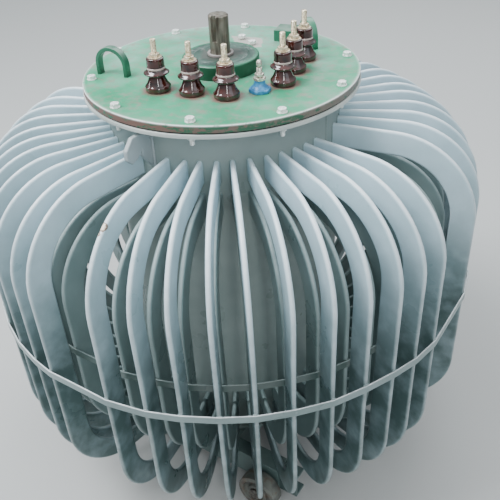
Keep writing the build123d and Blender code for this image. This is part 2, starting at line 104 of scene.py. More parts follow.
def enamel_coat(tree, body, shade, shade_and_dirt, dirt_and_shade_tone="#485e5d"):
    """Air-drying enamel brushed on steel, as (colour, roughness, skin): two tones in clouds a hand wide,
    dust on what faces up, painted shade mixed with dirt that darkens it towards the ground and on what faces
    down, in patches, and specks of rust. The peel is drawn a few times too coarse, so that it shows as a
    soft unevenness."""
    place = add(tree, "TexCoord", "Object")
    height = add(tree, "SeparateXYZ", 2, Vector=place)
    upward = add(tree, "SeparateXYZ", 2, Vector=add(tree, "NewGeometry", "Normal"))
    cloud, colour = two_tones(tree, place, CLOUD, shade, body, Detail=4.0)
    lain = add(tree, "TexNoise", Vector=place, Scale=1 / DUST_PATCH, Detail=4.0)
    dust = add(tree, "MapRange", Value=upward, From_Min=0.3, From_Max=1.0, To_Max=0.3)
    dust = add(tree, "Math", operation="MULTIPLY", i0=dust,
               i1=add(tree, "MapRange", Value=lain, From_Min=0.3, From_Max=0.7))
    colour = add(tree, "Mix", 2, data_type="RGBA", i0=dust, i6=colour, i7=linear("#bfc1ba"))
    # Painted shade mixed with dirt: darker towards the ground and on what faces down, in patches.
    shade_and_dirt_patches = add(tree, "TexNoise", Vector=place, Scale=1 / SHADE_AND_DIRT_PATCH, Detail=6.0)
    low = add(tree, "MapRange", Value=height, From_Min=LIT_AND_CLEAN_FROM, From_Max=SHADED_AND_SOILED_FROM)
    below = add(tree, "MapRange", Value=upward, From_Min=0.1, From_Max=-0.9)
    dirt_and_shade = add(tree, "Math", operation="MAXIMUM", i0=low, i1=below)
    spread = add(tree, "MapRange", Value=shade_and_dirt_patches, From_Min=0.25, From_Max=0.6,
                 To_Min=0.7 * shade_and_dirt, To_Max=shade_and_dirt)
    dirt_and_shade = add(tree, "Math", operation="MULTIPLY", i0=dirt_and_shade, i1=spread)
    colour = add(tree, "Mix", 2, data_type="RGBA", i0=dirt_and_shade, i6=colour, i7=linear(dirt_and_shade_tone))
    pits = add(tree, "TexNoise", Vector=place, Scale=1 / RUST_SPECK, Detail=6.0, Roughness=0.7)
    colour = laid_over(tree, colour, pits, 0.745, 0.77, 0.7, "#5d4231")
    gloss = add(tree, "MapRange", Value=cloud, To_Min=0.2, To_Max=0.4)
    peel = add(tree, "TexNoise", Vector=place, Scale=1 / ORANGE_PEEL, Detail=2.0)
    skin = add(tree, "Bump", Height=peel, Distance=PEEL_HEIGHT)
    return colour, gloss, skin


def enamelled(name, body, shade, shade_and_dirt):
    """A material that is the enamel coat and nothing else."""
    material, tree = new_material(name)
    colour, gloss, skin = enamel_coat(tree, body, shade, shade_and_dirt)
    shader = add(tree, "BsdfPrincipled", Base_Color=colour, Roughness=gloss, Normal=skin)
    add(tree, "OutputMaterial", Surface=shader)
    return material


def softened(node, edge, body="tank"):
    """A copy of a flat-sided CAD node with its corners rounded by a bevel, shown in its place."""
    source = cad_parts[node]
    mesh = source.data.copy()
    shape = bmesh.new()
    shape.from_mesh(mesh)
    bmesh.ops.remove_doubles(shape, verts=shape.verts, dist=MERGED)
    bmesh.ops.dissolve_limit(shape, angle_limit=FLAT_WITHIN, verts=shape.verts, edges=shape.edges)
    shape.to_mesh(mesh)
    shape.free()
    piece = bpy.data.objects.new(f"{node}_dressed", mesh)
    bpy.context.scene.collection.objects.link(piece)
    bevel = piece.modifiers.new("edge", "BEVEL")
    bevel.width = edge
    bevel.segments = 2
    bevel.limit_method = "ANGLE"
    bevel.angle_limit = CORNER_FROM
    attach(piece, body)
    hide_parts(node)
    return piece


def painted(piece, material):
    """Gives a piece or a CAD node its one material."""
    piece.data.materials.clear()
    piece.data.materials.append(material)
    return piece


# Brushed over scale and never washed: a dull grey that goes green-black low down and underneath, where road
# dirt and painted shade lie.
base_enamel = enamelled("Alkyd enamel over mill scale", "#77837f", "#616d6a", 0.85)
for node in ("base_beam_front", "base_beam_rear", "base_cross_left", "base_cross_right"):
    painted(softened(node, BASE_EDGE), base_enamel)

# Roller brackets: an angle of ten-millimetre plate behind each roller, flame cut, welded on the
# beam and painted with it. The axles are turned stubs with a head, pressed into the brackets.
AXLE_SCRATCH, SCRATCH_HEIGHT = 6 * MM, 0.08 * MM
painted(softened("roller_brackets", BASE_EDGE), base_enamel)

# Oil and dust on bare steel: a brown film with brighter scratches, still a little metallic.
axle_steel, tree = new_material("Turned mild steel, oiled")
place = add(tree, "TexCoord", "Object")
rubbed, colour = two_tones(tree, place, AXLE_SCRATCH, "#4c4741", "#85807a", Detail=5.0)
skin = add(tree, "Bump", Height=rubbed, Distance=SCRATCH_HEIGHT)
shader = add(tree, "BsdfPrincipled", Base_Color=colour, Metallic=0.85, Roughness=0.42, Normal=skin)
add(tree, "OutputMaterial", Surface=shader)
painted(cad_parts["roller_axles"], axle_steel)

# Rollers: grey cast iron wheels with a deep rim, a web and a bored hub. The tread is worn bright
# where it has rolled, the rest keeps its sandy casting skin under dirt.
ROLLER_RADIUS = 60 * MM
ROLLER_HALF = 20 * MM
ROLLER_BORE = 15.3 * MM
ROLLER_HUB = 30 * MM
ROLLER_RIM_INNER = 46 * MM
ROLLER_WEB_HALF = 11 * MM
ROLLER_EDGE = 2 * MM
ROLLER_TURNS = 96
CAST_CLOUD = 45 * MM
CAST_RUST = 22 * MM
SAND_GRAIN, SAND_HEIGHT = 3 * MM, 0.4 * MM


def rounded(points, radius, steps=4):
    """A profile with each corner but the ends rounded: a quadratic curve leaves both sides at the
    radius from the corner, or at half the shorter side where that is less."""
    points = np.asarray(points, float)
    radii = np.broadcast_to(np.asarray(radius, float), len(points))
    outline = [points[0]]
    for k in range(1, len(points) - 1):
        before, corner, after = points[k - 1], points[k], points[k + 1]
        left, right = np.linalg.norm(before - corner), np.linalg.norm(after - corner)
        reach = min(radii[k], 0.49 * left, 0.49 * right)
        start = corner + (before - corner) / left * reach
        stop = corner + (after - corner) / right * reach
        t = np.linspace(0, 1, steps + 1)[:, None]
        outline.extend((1 - t) ** 2 * start + 2 * t * (1 - t) * corner + t ** 2 * stop)
    outline.append(points[-1])
    return np.array(outline)


def lathe(profile, turns):
    """Points of a turned shape, the profile against the angle: x and y are the profile's radius
    times the cosine and the sine of the angle, and its height stays."""
    angle = np.linspace(0, 2 * np.pi, turns, endpoint=False)
    r, z = profile[:, 0, None], profile[:, 1, None]
    height = np.broadcast_to(z, (len(profile), turns))
    return np.stack([r * np.cos(angle), r * np.sin(angle), height], -1)


def grid_mesh(name, grids, marks=None, ends=False, sharp=None):
    """One mesh from several grids of points, each (along, around, xyz) and closed around.

    Each cell becomes a quad that runs around first and along second, which points outwards when
    around x along does. The UV map holds the cell's share along and around. Marks are values at
    the points, one list of arrays a name. With ends, the first and last rings are filled. With
    sharp, an angle in radians, edges that bend more than it stay crisp."""
    points, quads, caps, shares = [], [], [], []
    start = 0
    for grid in grids:
        along, around = grid.shape[:2]
        index = start + np.arange(along * around).reshape(along, around)
        after = np.roll(index, -1, axis=1)
        quads.append(np.stack([index[:-1], after[:-1], after[1:], index[1:]], -1).reshape(-1, 4))
        if ends:
            caps += [index[0][::-1].tolist(), index[-1].tolist()]
        u, v = np.meshgrid(np.linspace(0, 1, along), np.arange(around) / around, indexing="ij")
        turn = np.roll(v, -1, axis=1)
        turn[:, -1] = 1.0
        cell = np.stack([u[:-1], v[:-1], u[:-1], turn[:-1], u[1:], turn[1:], u[1:], v[1:]], -1)
        shares.append(cell.reshape(-1))
        points.append(grid.reshape(-1, 3))
        start += along * around
    points, quads, shares = np.concatenate(points), np.concatenate(quads), np.concatenate(shares)
    mesh = bpy.data.meshes.new(name)
    mesh.from_pydata(points.tolist(), [], quads.tolist() + caps)
    layer = mesh.uv_layers.new(name="UVMap")
    cap_loops = sum(len(cap) for cap in caps)
    layer.data.foreach_set("uv", np.concatenate([shares, np.zeros(2 * cap_loops)]).astype(np.float32))
    for key, values in (marks or {}).items():
        held = mesh.attributes.new(key, "FLOAT", "POINT")
        flat = np.concatenate([np.asarray(value, float).reshape(-1) for value in values])
        held.data.foreach_set("value", flat.astype(np.float32))
    shape = bmesh.new()
    shape.from_mesh(mesh)
    bmesh.ops.remove_doubles(shape, verts=shape.verts, dist=MERGED)
    for edge in shape.edges if sharp else ():
        if len(edge.link_faces) == 2 and edge.calc_face_angle(0.0) > sharp:
            edge.smooth = False
    shape.to_mesh(mesh)
    shape.free()
    mesh.polygons.foreach_set("use_smooth", np.ones(len(mesh.polygons), bool))
    return mesh


def new_piece(name, grids, material, body, *nodes, **shape):
    """Shows grids as a piece that rides on a body and stands for the given CAD nodes. The shape's
    settings are those of its mesh: marks, ends and sharp."""
    piece = bpy.data.objects.new(name, grid_mesh(name, grids, **shape))
    bpy.context.scene.collection.objects.link(piece)
    painted(piece, material)
    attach(piece, body)
    if nodes:
        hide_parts(*nodes)
    return piece


# Cast in sand and left bare: a dark grey, softly grained face with brown rust in patches. The grain
# is drawn about three times coarser than it is, so that it shows.
cast_iron, tree = new_material("Grey cast iron, sand-cast skin")
place = add(tree, "TexCoord", "Object")
_, colour = two_tones(tree, place, CAST_CLOUD, "#4a4b48", "#7c7f78")
bloom = add(tree, "TexNoise", Vector=place, Scale=1 / CAST_RUST, Detail=6.0)
colour = laid_over(tree, colour, bloom, 0.52, 0.66, 0.5, "#6b4a33")
sand = add(tree, "TexNoise", Vector=place, Scale=1 / SAND_GRAIN, Detail=6.0, Roughness=0.65)
skin = add(tree, "Bump", Height=sand, Distance=SAND_HEIGHT)
shader = add(tree, "BsdfPrincipled", Base_Color=colour, Metallic=0.3, Roughness=0.5, Normal=skin)
add(tree, "OutputMaterial", Surface=shader)

near_side = [
    (ROLLER_BORE, -ROLLER_HALF), (ROLLER_HUB, -ROLLER_HALF), (ROLLER_HUB + ROLLER_EDGE, -ROLLER_WEB_HALF),
    (ROLLER_RIM_INNER - ROLLER_EDGE, -ROLLER_WEB_HALF), (ROLLER_RIM_INNER, -ROLLER_HALF),
    (ROLLER_RADIUS, -ROLLER_HALF),
]
far_side = [(r, -z) for r, z in near_side[::-1]]
roller_profile = rounded(near_side + far_side + near_side[:1], ROLLER_EDGE)
for node in [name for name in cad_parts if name.startswith("roller_")]:
    if node in ("roller_axles", "roller_brackets"):
        continue
    low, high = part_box(node)
    middle = [(a + b) / 2 for a, b in zip(low, high)]
    wheel = lathe(roller_profile, ROLLER_TURNS)
    wheel = np.stack([wheel[..., 0], -wheel[..., 2], wheel[..., 1]], -1) + np.array(middle)
    new_piece(f"{node}_cast", [wheel], cast_iron, node, node)

# Tank: a rolled shell of six-millimetre plate with a welded bottom. It was brushed with the same grey-green
# enamel as the tubes, painted darker here for the shade between them.
TANK_RADIUS = 300 * MM
TANK_WALL = 6 * MM
TANK_TURNS = 240
WALL_STEPS = 40
DENT, DENT_FADE = 0.5 * MM, 100 * MM
DENT_WAVES, DENT_RATE = 5, 9
TURNED_EDGE = 0.7

# The same grey-green enamel, painted darker for the shade between the tubes: even and half dull.
tank_enamel_shaded = enamelled("Alkyd enamel, tank wall", "#919e9b", "#7c8b88", 0.36)
painted(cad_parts["tank_bottom"], tank_enamel_shaded)

wall_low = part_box("tank_wall_front")[0][2]
wall_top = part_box("tank_wall_front")[1][2]
outside = np.column_stack([np.full(WALL_STEPS, TANK_RADIUS), np.linspace(wall_low, wall_top, WALL_STEPS)])
inside = np.column_stack([np.full(2, TANK_RADIUS - TANK_WALL), [wall_top, wall_low]])
wall = lathe(np.concatenate([outside, inside, outside[:1]]), TANK_TURNS)

# The plate's unevenness: a sine in waves round the tank times a sine up it, in radians a metre,
# which fades out at the neck.
angle = np.arctan2(wall[..., 1], wall[..., 0])
dent = DENT * np.sin(DENT_WAVES * angle + 1) * np.sin(DENT_RATE * wall[..., 2]) - DENT
on_outside = np.hypot(wall[..., 0], wall[..., 1]) > TANK_RADIUS - MM
fade = np.clip((wall_top - wall[..., 2]) / DENT_FADE, 0, 1) * on_outside
wall[..., :2] *= 1 + (dent * fade / TANK_RADIUS)[..., None]
piece = new_piece("tank_wall_rolled", [wall], tank_enamel_shaded, "tank", "tank_wall_front", "tank_wall_rear",
                  sharp=TURNED_EDGE)

# Welds: hand-laid beads where plates and tubes join. Each bead is a half-sunk round ridge whose
# ripples are the frozen edges of the pool, painted over with the rest.
RIPPLE_PITCH = 5 * MM
RIPPLE_SHARE, CHANCE_SHARE = 0.12, 0.08
BEAD_POINTS = 8
SEAM_POINTS = 300
SEAM_BEAD, BOTTOM_BEAD, NECK_BEAD = 3 * MM, 5 * MM, 4 * MM
BEAD_TILT = 0.6
SEAM_INSET = 2 * MM
HALFWAY = 0.7
weld_noise = np.random.default_rng(7)


def bead(path, out, radius, closed=True):
    """A ridge along a path: a circle in the plane of the outward and the side direction, with its
    radius rippled by a sine of the length along the path and by a little chance."""
    step = np.linalg.norm(np.roll(path, -1, 0) - path, axis=1)
    length = np.concatenate([[0], np.cumsum(step[:-1])])
    along = np.gradient(path, axis=0)
    if closed:
        along = np.roll(path, -1, 0) - np.roll(path, 1, 0)
    along /= np.linalg.norm(along, axis=1)[:, None]
    side = np.cross(along, out)
    side /= np.linalg.norm(side, axis=1)[:, None]
    turn = np.linspace(0, 2 * np.pi, BEAD_POINTS, endpoint=False)
    chance = weld_noise.normal(0, CHANCE_SHARE, len(path))
    size = radius * (1 + RIPPLE_SHARE * np.sin(2 * np.pi * length / RIPPLE_PITCH) + chance)
    ring = out[:, None] * np.cos(turn)[None, :, None] + side[:, None] * np.sin(turn)[None, :, None]
    tube_points = path[:, None] + ring * size[:, None, None]
    return np.concatenate([tube_points, tube_points[:1]]) if closed else tube_points


def circle_bead(radius, height, bead_radius, tilt, points=360):
    """A bead on a circle round the axis; tilt turns its outward direction from level to upright."""
    angle = np.linspace(0, 2 * np.pi, points, endpoint=False)
    level = np.stack([np.cos(angle), np.sin(angle), np.zeros(points)], -1)
    path = radius * level + (0, 0, height)
    return bead(path, np.cos(tilt) * level + (0, 0, np.sin(tilt)), bead_radius)


seam_height = np.linspace(wall_low + SEAM_INSET, wall_top - SEAM_INSET, SEAM_POINTS)
seams = []
for side_x in (-1, 1):
    seam_x = np.full(SEAM_POINTS, side_x * (TANK_RADIUS - MM))
    path = np.stack([seam_x, np.zeros(SEAM_POINTS), seam_height], -1)
    seams.append(bead(path, np.tile([side_x, 0.0, 0.0], (SEAM_POINTS, 1)), SEAM_BEAD, closed=False))
seams.append(circle_bead(TANK_RADIUS, wall_low, BOTTOM_BEAD, BEAD_TILT))
seams.append(circle_bead(TANK_RADIUS, wall_top, NECK_BEAD, -BEAD_TILT))
new_piece("tank_weld_seams", seams, tank_enamel_shaded, "tank")

# Cooling tubes: seamed steel tube rolled flat, bent on edge to a C and welded into the tank wall. The enamel
# is a cool grey-blue, lighter along the narrow noses from rubbed wear and a painted highlight, and on one
# tube in front it has chipped off down to the cream filler with rust round the edge.
TUBE_DEPTH = 62 * MM
TUBE_THICKNESS = 12 * MM
TUBE_CORNER = 5.2 * MM
TUBE_END_CORNER = 5.8 * MM
TUBE_END_LENGTH = 60 * MM
TUBE_FAN = np.radians([9.4, 16.2, 22.6, 29.7, 36.9, 44.7, 52.2, 59.1, 66.6, 73.5, 82.1])
TUBE_FAN_OTHER_HAND = np.radians([8.5, 16.9, 24.6, 32.6, 40.8, 47.8, 55.0, 62.1, 69.5, 77.1, 82.6])
TUBE_SETS = {
    "outer": {"reach": 672 * MM, "top_bend": 214 * MM, "bottom_bend": 200 * MM},
    "inner": {"reach": 595 * MM, "top_bend": 205 * MM, "bottom_bend": 250 * MM},
}
TUBE_SINK = 2 * MM
TUBE_BEAD = 1.8 * MM
TUBE_SWAY = 1.2 * MM
SWAY_SLOW, SWAY_FAST = 3, 9
BEND_STEPS, END_STEPS, UPRIGHT_STEPS = 16, 5, 8
SIDE_SUPPORT = 2.5 * MM
NOSE_DEPTH = 3.4 * MM
HIGHLIGHT_FULL_ABOVE, HIGHLIGHT_FAINT_BELOW, HIGHLIGHT_FAINT_SHARE = 1000 * MM, 650 * MM, 0.25
CHIPS = [((77 * MM, -561 * MM, 1003 * MM), 9 * MM), ((76 * MM, -572 * MM, 988 * MM), 6 * MM)]
CHIP_RAGGED = 9 * MM
RUB_PATCH = 30 * MM
tube_noise = np.random.default_rng(11)


def tube_enamel(name, body, shade, rubbed, shade_and_dirt, chipped=False):
    """The enamel coat with its noses lighter in patches, from rubbed wear and a painted highlight. A chip,
    where there is one, is the distance from its middle, made ragged by noise: rusty below one share of its
    radius and bare down to the filler below a smaller one."""
    material, tree = new_material(name)
    colour, gloss, skin = enamel_coat(tree, body, shade, shade_and_dirt)
    place = add(tree, "TexCoord", "Object")
    # The nose mark: rubbed wear and a painted highlight, lighter in patches.
    nose = add(tree, "Attribute", "Fac", attribute_name="nose")
    patch = add(tree, "TexNoise", Vector=place, Scale=1 / RUB_PATCH, Detail=4.0)
    worn_and_highlit = add(tree, "MapRange", Value=patch, From_Min=0.25, From_Max=0.6, To_Min=0.35, To_Max=0.8)
    worn_and_highlit = add(tree, "Math", operation="MULTIPLY", i0=nose, i1=worn_and_highlit)
    colour = add(tree, "Mix", 2, data_type="RGBA", i0=worn_and_highlit, i6=colour, i7=linear(rubbed))
    ragged = add(tree, "TexNoise", Vector=place, Scale=1 / CHIP_RAGGED, Detail=5.0)
    for spot, radius in CHIPS if chipped else ():
        away = add(tree, "VectorMath", "Value", operation="DISTANCE", i0=place, i1=spot)
        away = add(tree, "Math", operation="MULTIPLY_ADD", i0=ragged, i1=-1.6 * radius, i2=away)
        colour = laid_over(tree, colour, away, 0.5 * radius, 0.3 * radius, 1.0, "#7d6a58")
        colour = laid_over(tree, colour, away, 0.15 * radius, 0.0, 1.0, "#eadfcb")
    shader = add(tree, "BsdfPrincipled", Base_Color=colour, Roughness=gloss, Normal=skin)
    add(tree, "OutputMaterial", Surface=shader)
    return material


# The outer tubes: pale blue-grey, whiter along the noses from rubbed wear and a painted highlight, and teal
# low down with dirt and painted shade. The inner ones are the same enamel painted darker for the shade they
# lie in.
tube_finishes = {
    "outer": tube_enamel("Alkyd enamel, outer tubes", "#d4ebf5", "#bed8e1", "#f2f8fb", 0.98, chipped=True),
    "inner": tube_enamel("Alkyd enamel, inner tubes", "#8fa2a2", "#778b8a", "#b7c6c6", 0.45),
}


def flat_section(depth, thickness, corner):
    """The flat tube's section as (out, side), one ring for each corner radius: a quarter circle at
    each of the four corners, with straight sides between them."""
    corner = np.atleast_1d(corner)[:, None]
    quarter = np.repeat(np.arange(4), 4)
    turn = np.radians(90 * quarter + np.tile([-90, -60, -30, 0], 4))
    out_sign = np.array([1, 1, -1, -1])[quarter]
    side_sign = np.array([-1, 1, 1, -1])[quarter]
    out = out_sign * (depth / 2 - corner) + corner * np.cos(turn)
    side = side_sign * (thickness / 2 - corner) + corner * np.sin(turn)
    support = depth / 2 - corner - SIDE_SUPPORT
    upper = np.concatenate([support, 0 * support, -support], 1)
    half = np.full_like(upper, thickness / 2)
    out = np.concatenate([out[:, :8], upper, out[:, 8:], -upper], 1)
    side = np.concatenate([side[:, :8], half, side[:, 8:], -half], 1)
    return np.stack([out, side], -1)


def tube_line(start, reach, top, bottom, top_bend, bottom_bend):
    """The centre line of a C-shaped tube in its own radial plane as (r, z), and the angle that it
    has turned: out along the top leg, a quarter circle down, the upright, a quarter circle in and
    back along the bottom leg."""
    middle = TUBE_DEPTH / 2
    out, high, low = reach - middle, top - middle, bottom + middle
    top_r, low_r = top_bend - middle, bottom_bend - middle
    bend = np.linspace(0, np.pi / 2, BEND_STEPS)
    ends = start + np.linspace(0, TUBE_END_LENGTH, END_STEPS)
    upright = np.linspace(high - top_r, low + low_r, UPRIGHT_STEPS + 2)[1:-1]
    legs = [
        np.column_stack([ends, np.full(END_STEPS, high)]),
        np.column_stack([out - top_r * (1 - np.sin(bend)), high - top_r * (1 - np.cos(bend))]),
        np.column_stack([np.full(UPRIGHT_STEPS, out), upright]),
        np.column_stack([out - low_r * (1 - np.cos(bend)), low + low_r * (1 - np.sin(bend))]),
        np.column_stack([ends[::-1], np.full(END_STEPS, low)]),
    ]
    turns = [
        np.zeros(END_STEPS), bend, np.full(UPRIGHT_STEPS, np.pi / 2), np.pi / 2 + bend,
        np.full(END_STEPS, np.pi),
    ]
    return np.concatenate(legs), np.concatenate(turns)


quadrants = {
    "rear_right": TUBE_FAN_OTHER_HAND,
    "rear_left": np.pi - TUBE_FAN,
    "front_left": np.pi + TUBE_FAN_OTHER_HAND,
    "front_right": -TUBE_FAN,
}


def turned_about(points, angle):
    """Points turned about the upright axis by an angle."""
    c, s = np.cos(angle), np.sin(angle)
    x, y, z = points[..., 0], points[..., 1], points[..., 2]
    return np.stack([x * c - y * s, x * s + y * c, z], -1)


def tube_weld(height):
    """The bead round a tube's end: the section's outline laid on the tank's cylinder, whose x is the
    root of the radius squared less y squared. It faces halfway between the tube and the tank."""
    outline = flat_section(TUBE_DEPTH + MM, TUBE_THICKNESS + MM, TUBE_END_CORNER)[0, ::-1]
    on_tank = np.sqrt(TANK_RADIUS ** 2 - outline[:, 1] ** 2)
    path = np.stack([on_tank, outline[:, 1], height + outline[:, 0]], -1)
    out = path - path.mean(0)
    out[:, 0] = 0
    out /= np.linalg.norm(out, axis=1)[:, None]
    return bead(path, out * HALFWAY + np.array([HALFWAY, 0, 0]), TUBE_BEAD)


for set_name, shape_sizes in TUBE_SETS.items():
    for quadrant, angles in quadrants.items():
        node = f"{set_name}_tubes_{quadrant}"
        low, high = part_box(node)
        line, turn = tube_line(TANK_RADIUS - TUBE_SINK, top=high[2], bottom=low[2], **shape_sizes)
        out = np.stack([np.sin(turn), np.zeros_like(turn), np.cos(turn)], -1)
        from_wall = np.clip((line[:, 0] - TANK_RADIUS) / TUBE_END_LENGTH, 0, 1)
        corner = TUBE_END_CORNER + (TUBE_CORNER - TUBE_END_CORNER) * from_wall
        section = flat_section(TUBE_DEPTH, TUBE_THICKNESS, corner)
        # The painted highlight on the noses grows with height and fades out towards the wall, where shade
        # falls.
        raised = (line[:, 1] - HIGHLIGHT_FAINT_BELOW) / (HIGHLIGHT_FULL_ABOVE - HIGHLIGHT_FAINT_BELOW)
        highlight_share = np.clip(raised, HIGHLIGHT_FAINT_SHARE, 1) * from_wall
        from_nose = TUBE_DEPTH / 2 - np.abs(section[..., 0])
        nose_share = np.clip(1 - from_nose / NOSE_DEPTH, 0, 1) * highlight_share[:, None]
        grids, noses, welds = [], [], []
        for angle in angles:
            centre = np.stack([line[:, 0], np.zeros(len(line)), line[:, 1]], -1)
            free = np.sin(np.linspace(0, np.pi, len(line)))
            phase = tube_noise.uniform(0, 6.28, 2)
            slow, fast = SWAY_SLOW * centre[:, 2] + phase[0], SWAY_FAST * centre[:, 2] + phase[1]
            sway = np.sin(slow) + 0.5 * np.sin(fast)
            centre[:, 1] += TUBE_SWAY * free * sway
            rings = centre[:, None] + section[..., :1] * out[:, None]
            rings[..., 1] -= section[..., 1]
            grids.append(turned_about(rings, angle))
            noses.append(nose_share)
            for end in (line[0, 1], line[-1, 1]):
                welds.append(turned_about(tube_weld(end), angle))
        finish = tube_finishes[set_name]
        piece = new_piece(f"{node}_bent", grids, finish, "tank", node, marks={"nose": noses})
        # The welds at the wall take the inner tubes' enamel, painted dark for the shade there.
        new_piece(f"{node}_welds", welds, tube_finishes["inner"], "tank")

# Belts: a flat bar round each set of tubes, bent by hand from tube to tube and tacked to every nose with a
# blob above and below. It wanders a few millimetres up and down and is kinked at the tubes, and its two
# edges are lighter, from rubbed wear and a painted highlight.
BELT_WIDTH = 20 * MM
BELT_THICKNESS = 4 * MM
BELT_EDGE = 0.8 * MM
BELT_GAP = 0.8 * MM
BELT_WANDER = 1.6 * MM
WANDER_SLOW, WANDER_FAST = 3, 11
BELT_KINK = 1.5 * MM
SPAN_STEPS = 4
TACK = np.array([3.0, 6.5, 2.6]) * MM
TACK_SINK = 0.5 * MM
TACK_LEAST, TACK_MOST = 0.8, 1.15
half_thick, half_wide = BELT_THICKNESS / 2, BELT_WIDTH / 2
flat_thick, flat_wide = half_thick - BELT_EDGE, half_wide - BELT_EDGE
belt_section = np.array([
    (half_thick, -flat_wide), (half_thick, flat_wide), (flat_thick, half_wide), (-flat_thick, half_wide),
    (-half_thick, flat_wide), (-half_thick, -flat_wide), (-flat_thick, -half_wide), (flat_thick, -half_wide),
])
belt_noise = np.random.default_rng(5)
all_angles = np.sort(np.concatenate(list(quadrants.values())) % (2 * np.pi))
# The outer bar is pale, with its edges rubbed and painted as a highlight; the inner one is painted darker
# for the shade it lies in.
belt_finishes = {
    "outer_belt": tube_enamel("Alkyd enamel, outer belt", "#93a4a5", "#7f9090", "#f2f6f6", 0.3),
    "inner_belt": tube_enamel("Alkyd enamel, inner belt", "#64746f", "#50605c", "#9aa8a6", 0.5),
}


def blob(centre, size, points=8):
    """A rounded lump: an ellipsoid, sin and cos of two angles, pushed about a little by chance."""
    tall = np.linspace(-np.pi / 2, np.pi / 2, points)
    turn = np.linspace(0, 2 * np.pi, points, endpoint=False)
    ball = np.stack([
        np.cos(tall)[:, None] * np.cos(turn), np.cos(tall)[:, None] * np.sin(turn),
        np.broadcast_to(np.sin(tall)[:, None], (points, points)),
    ], -1)
    ball[1:-1] *= 1 + weld_noise.normal(0, CHANCE_SHARE, (points - 2, points, 1))
    return ball * size + centre


for node, finish in belt_finishes.items():
    low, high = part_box(node)
    nose_radius = TUBE_SETS[node.split("_")[0]]["reach"]
    middle_radius = nose_radius + BELT_GAP + BELT_THICKNESS / 2
    corners = np.stack([np.cos(all_angles), np.sin(all_angles)], -1) * middle_radius
    share = np.linspace(0, 1, SPAN_STEPS, endpoint=False)[None, :, None]
    path = (corners[:, None] * (1 - share) + np.roll(corners, -1, 0)[:, None] * share).reshape(-1, 2)
    radial = path / np.linalg.norm(path, axis=1)[:, None]
    angle = np.arctan2(path[:, 1], path[:, 0])
    middle = (low[2] + high[2]) / 2
    kinks = belt_noise.normal(0, BELT_KINK, (len(corners), 1))
    kinks = (kinks * (1 - share[..., 0]) + np.roll(kinks, -1, 0) * share[..., 0]).reshape(-1)
    wander = np.sin(WANDER_SLOW * angle + 0.6) + 0.6 * np.sin(WANDER_FAST * angle)
    height = middle + BELT_WANDER * wander + kinks
    ring = np.stack([
        path[:, None, 0] + radial[:, None, 0] * belt_section[None, :, 0],
        path[:, None, 1] + radial[:, None, 1] * belt_section[None, :, 0],
        height[:, None] + belt_section[None, :, 1],
    ], -1)
    ring = np.concatenate([ring, ring[:1]])
    # Both edges of the bar carry the nose mark: rubbed wear and a painted highlight.
    edges = np.broadcast_to(np.abs(belt_section[:, 1]) > flat_wide + MM / 2, ring.shape[:2])
    marks = {"nose": [edges]}
    piece = new_piece(f"{node}_bar", [ring], finish, "tank", node, marks=marks, sharp=TURNED_EDGE)
    tacks = []
    for spot, lift in zip(corners, height[::SPAN_STEPS]):
        tack_angle = np.arctan2(spot[1], spot[0])
        for side_z in (-1, 1):
            lump = blob((0, 0, 0), TACK * weld_noise.uniform(TACK_LEAST, TACK_MOST))
            lump = turned_about(lump, tack_angle)
            place = np.array([spot[0], spot[1], lift + side_z * BELT_WIDTH / 2])
            place[:2] *= (nose_radius - TACK_SINK) / middle_radius
            tacks.append(lump + place)
    new_piece(f"{node}_tacks", tacks, finish, "tank")

# Lifting lugs: flame-cut plates welded upright on the neck, their corners rubbed round by years of
# lifting and the enamel on them worn thin and pale.
LUG_EDGE = 2.2 * MM
LUG_HALF = 6 * MM
LUG_BEAD = 4 * MM
LUG_BEAD_POINTS = 60
LUG_BEAD_BELOW, LUG_BEAD_ABOVE = 4 * MM, 2 * MM

# Rubbed in lifting: a paler and flatter grey than the shell behind.
lug_enamel = enamelled("Alkyd enamel, lugs", "#a8b1b3", "#919c9e", 0.2)
for node in ("tank_lug_front", "tank_lug_rear"):
    painted(softened(node, LUG_EDGE), lug_enamel)
    low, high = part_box(node)
    side_y = -1 if node == "tank_lug_front" else 1
    lug_beads = []
    for side_x in (-1, 1):
        path = np.tile([side_x * LUG_HALF, side_y * TANK_RADIUS, 0.0], (LUG_BEAD_POINTS, 1))
        path[:, 2] = np.linspace(low[2] + LUG_BEAD_BELOW, high[2] - LUG_BEAD_ABOVE, LUG_BEAD_POINTS)
        out = np.tile([HALFWAY * side_x, HALFWAY * side_y, 0.0], (LUG_BEAD_POINTS, 1))
        lug_beads.append(bead(path, out, LUG_BEAD, closed=False))
    new_piece(f"{node}_weld", lug_beads, lug_enamel, "tank")

# Neck flange and gasket: a turned ring welded on the shell, its edge rubbed pale by handling and painted
# lighter still as a highlight, with a sheet of black oil-resistant rubber squeezed between it and the cover.
FLANGE_EDGE = 1.5 * MM
FLANGE_TURNS = 360
RUBBER_BLOOM = 12 * MM
low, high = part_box("tank_flange")
flange_radius = high[0]
bore = TANK_RADIUS - TANK_WALL
flange_profile = rounded([
    (bore, low[2]), (flange_radius, low[2]), (flange_radius, high[2]), (bore, high[2]), (bore, low[2]),
], FLANGE_EDGE)

# Thin enamel rubbed pale by hands and tools, and painted almost white as a highlight, so the flange reads as
# a bright line.
flange_enamel = enamelled("Alkyd enamel, flange edge", "#cfd5d0", "#aeb6b1", 0.2)
flange = lathe(flange_profile, FLANGE_TURNS)
piece = new_piece("tank_flange_turned", [flange], flange_enamel, "tank", "tank_flange", sharp=TURNED_EDGE)

# Pressed sheet: a black matt line with a greyish bloom where the oil has dried.
rubber, tree = new_material("Nitrile rubber sheet")
place = add(tree, "TexCoord", "Object")
_, colour = two_tones(tree, place, RUBBER_BLOOM, "#15161a", "#2b2c2c")
add(tree, "OutputMaterial", Surface=add(tree, "BsdfPrincipled", Base_Color=colour, Roughness=0.7))
painted(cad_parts["cover_gasket"], rubber)
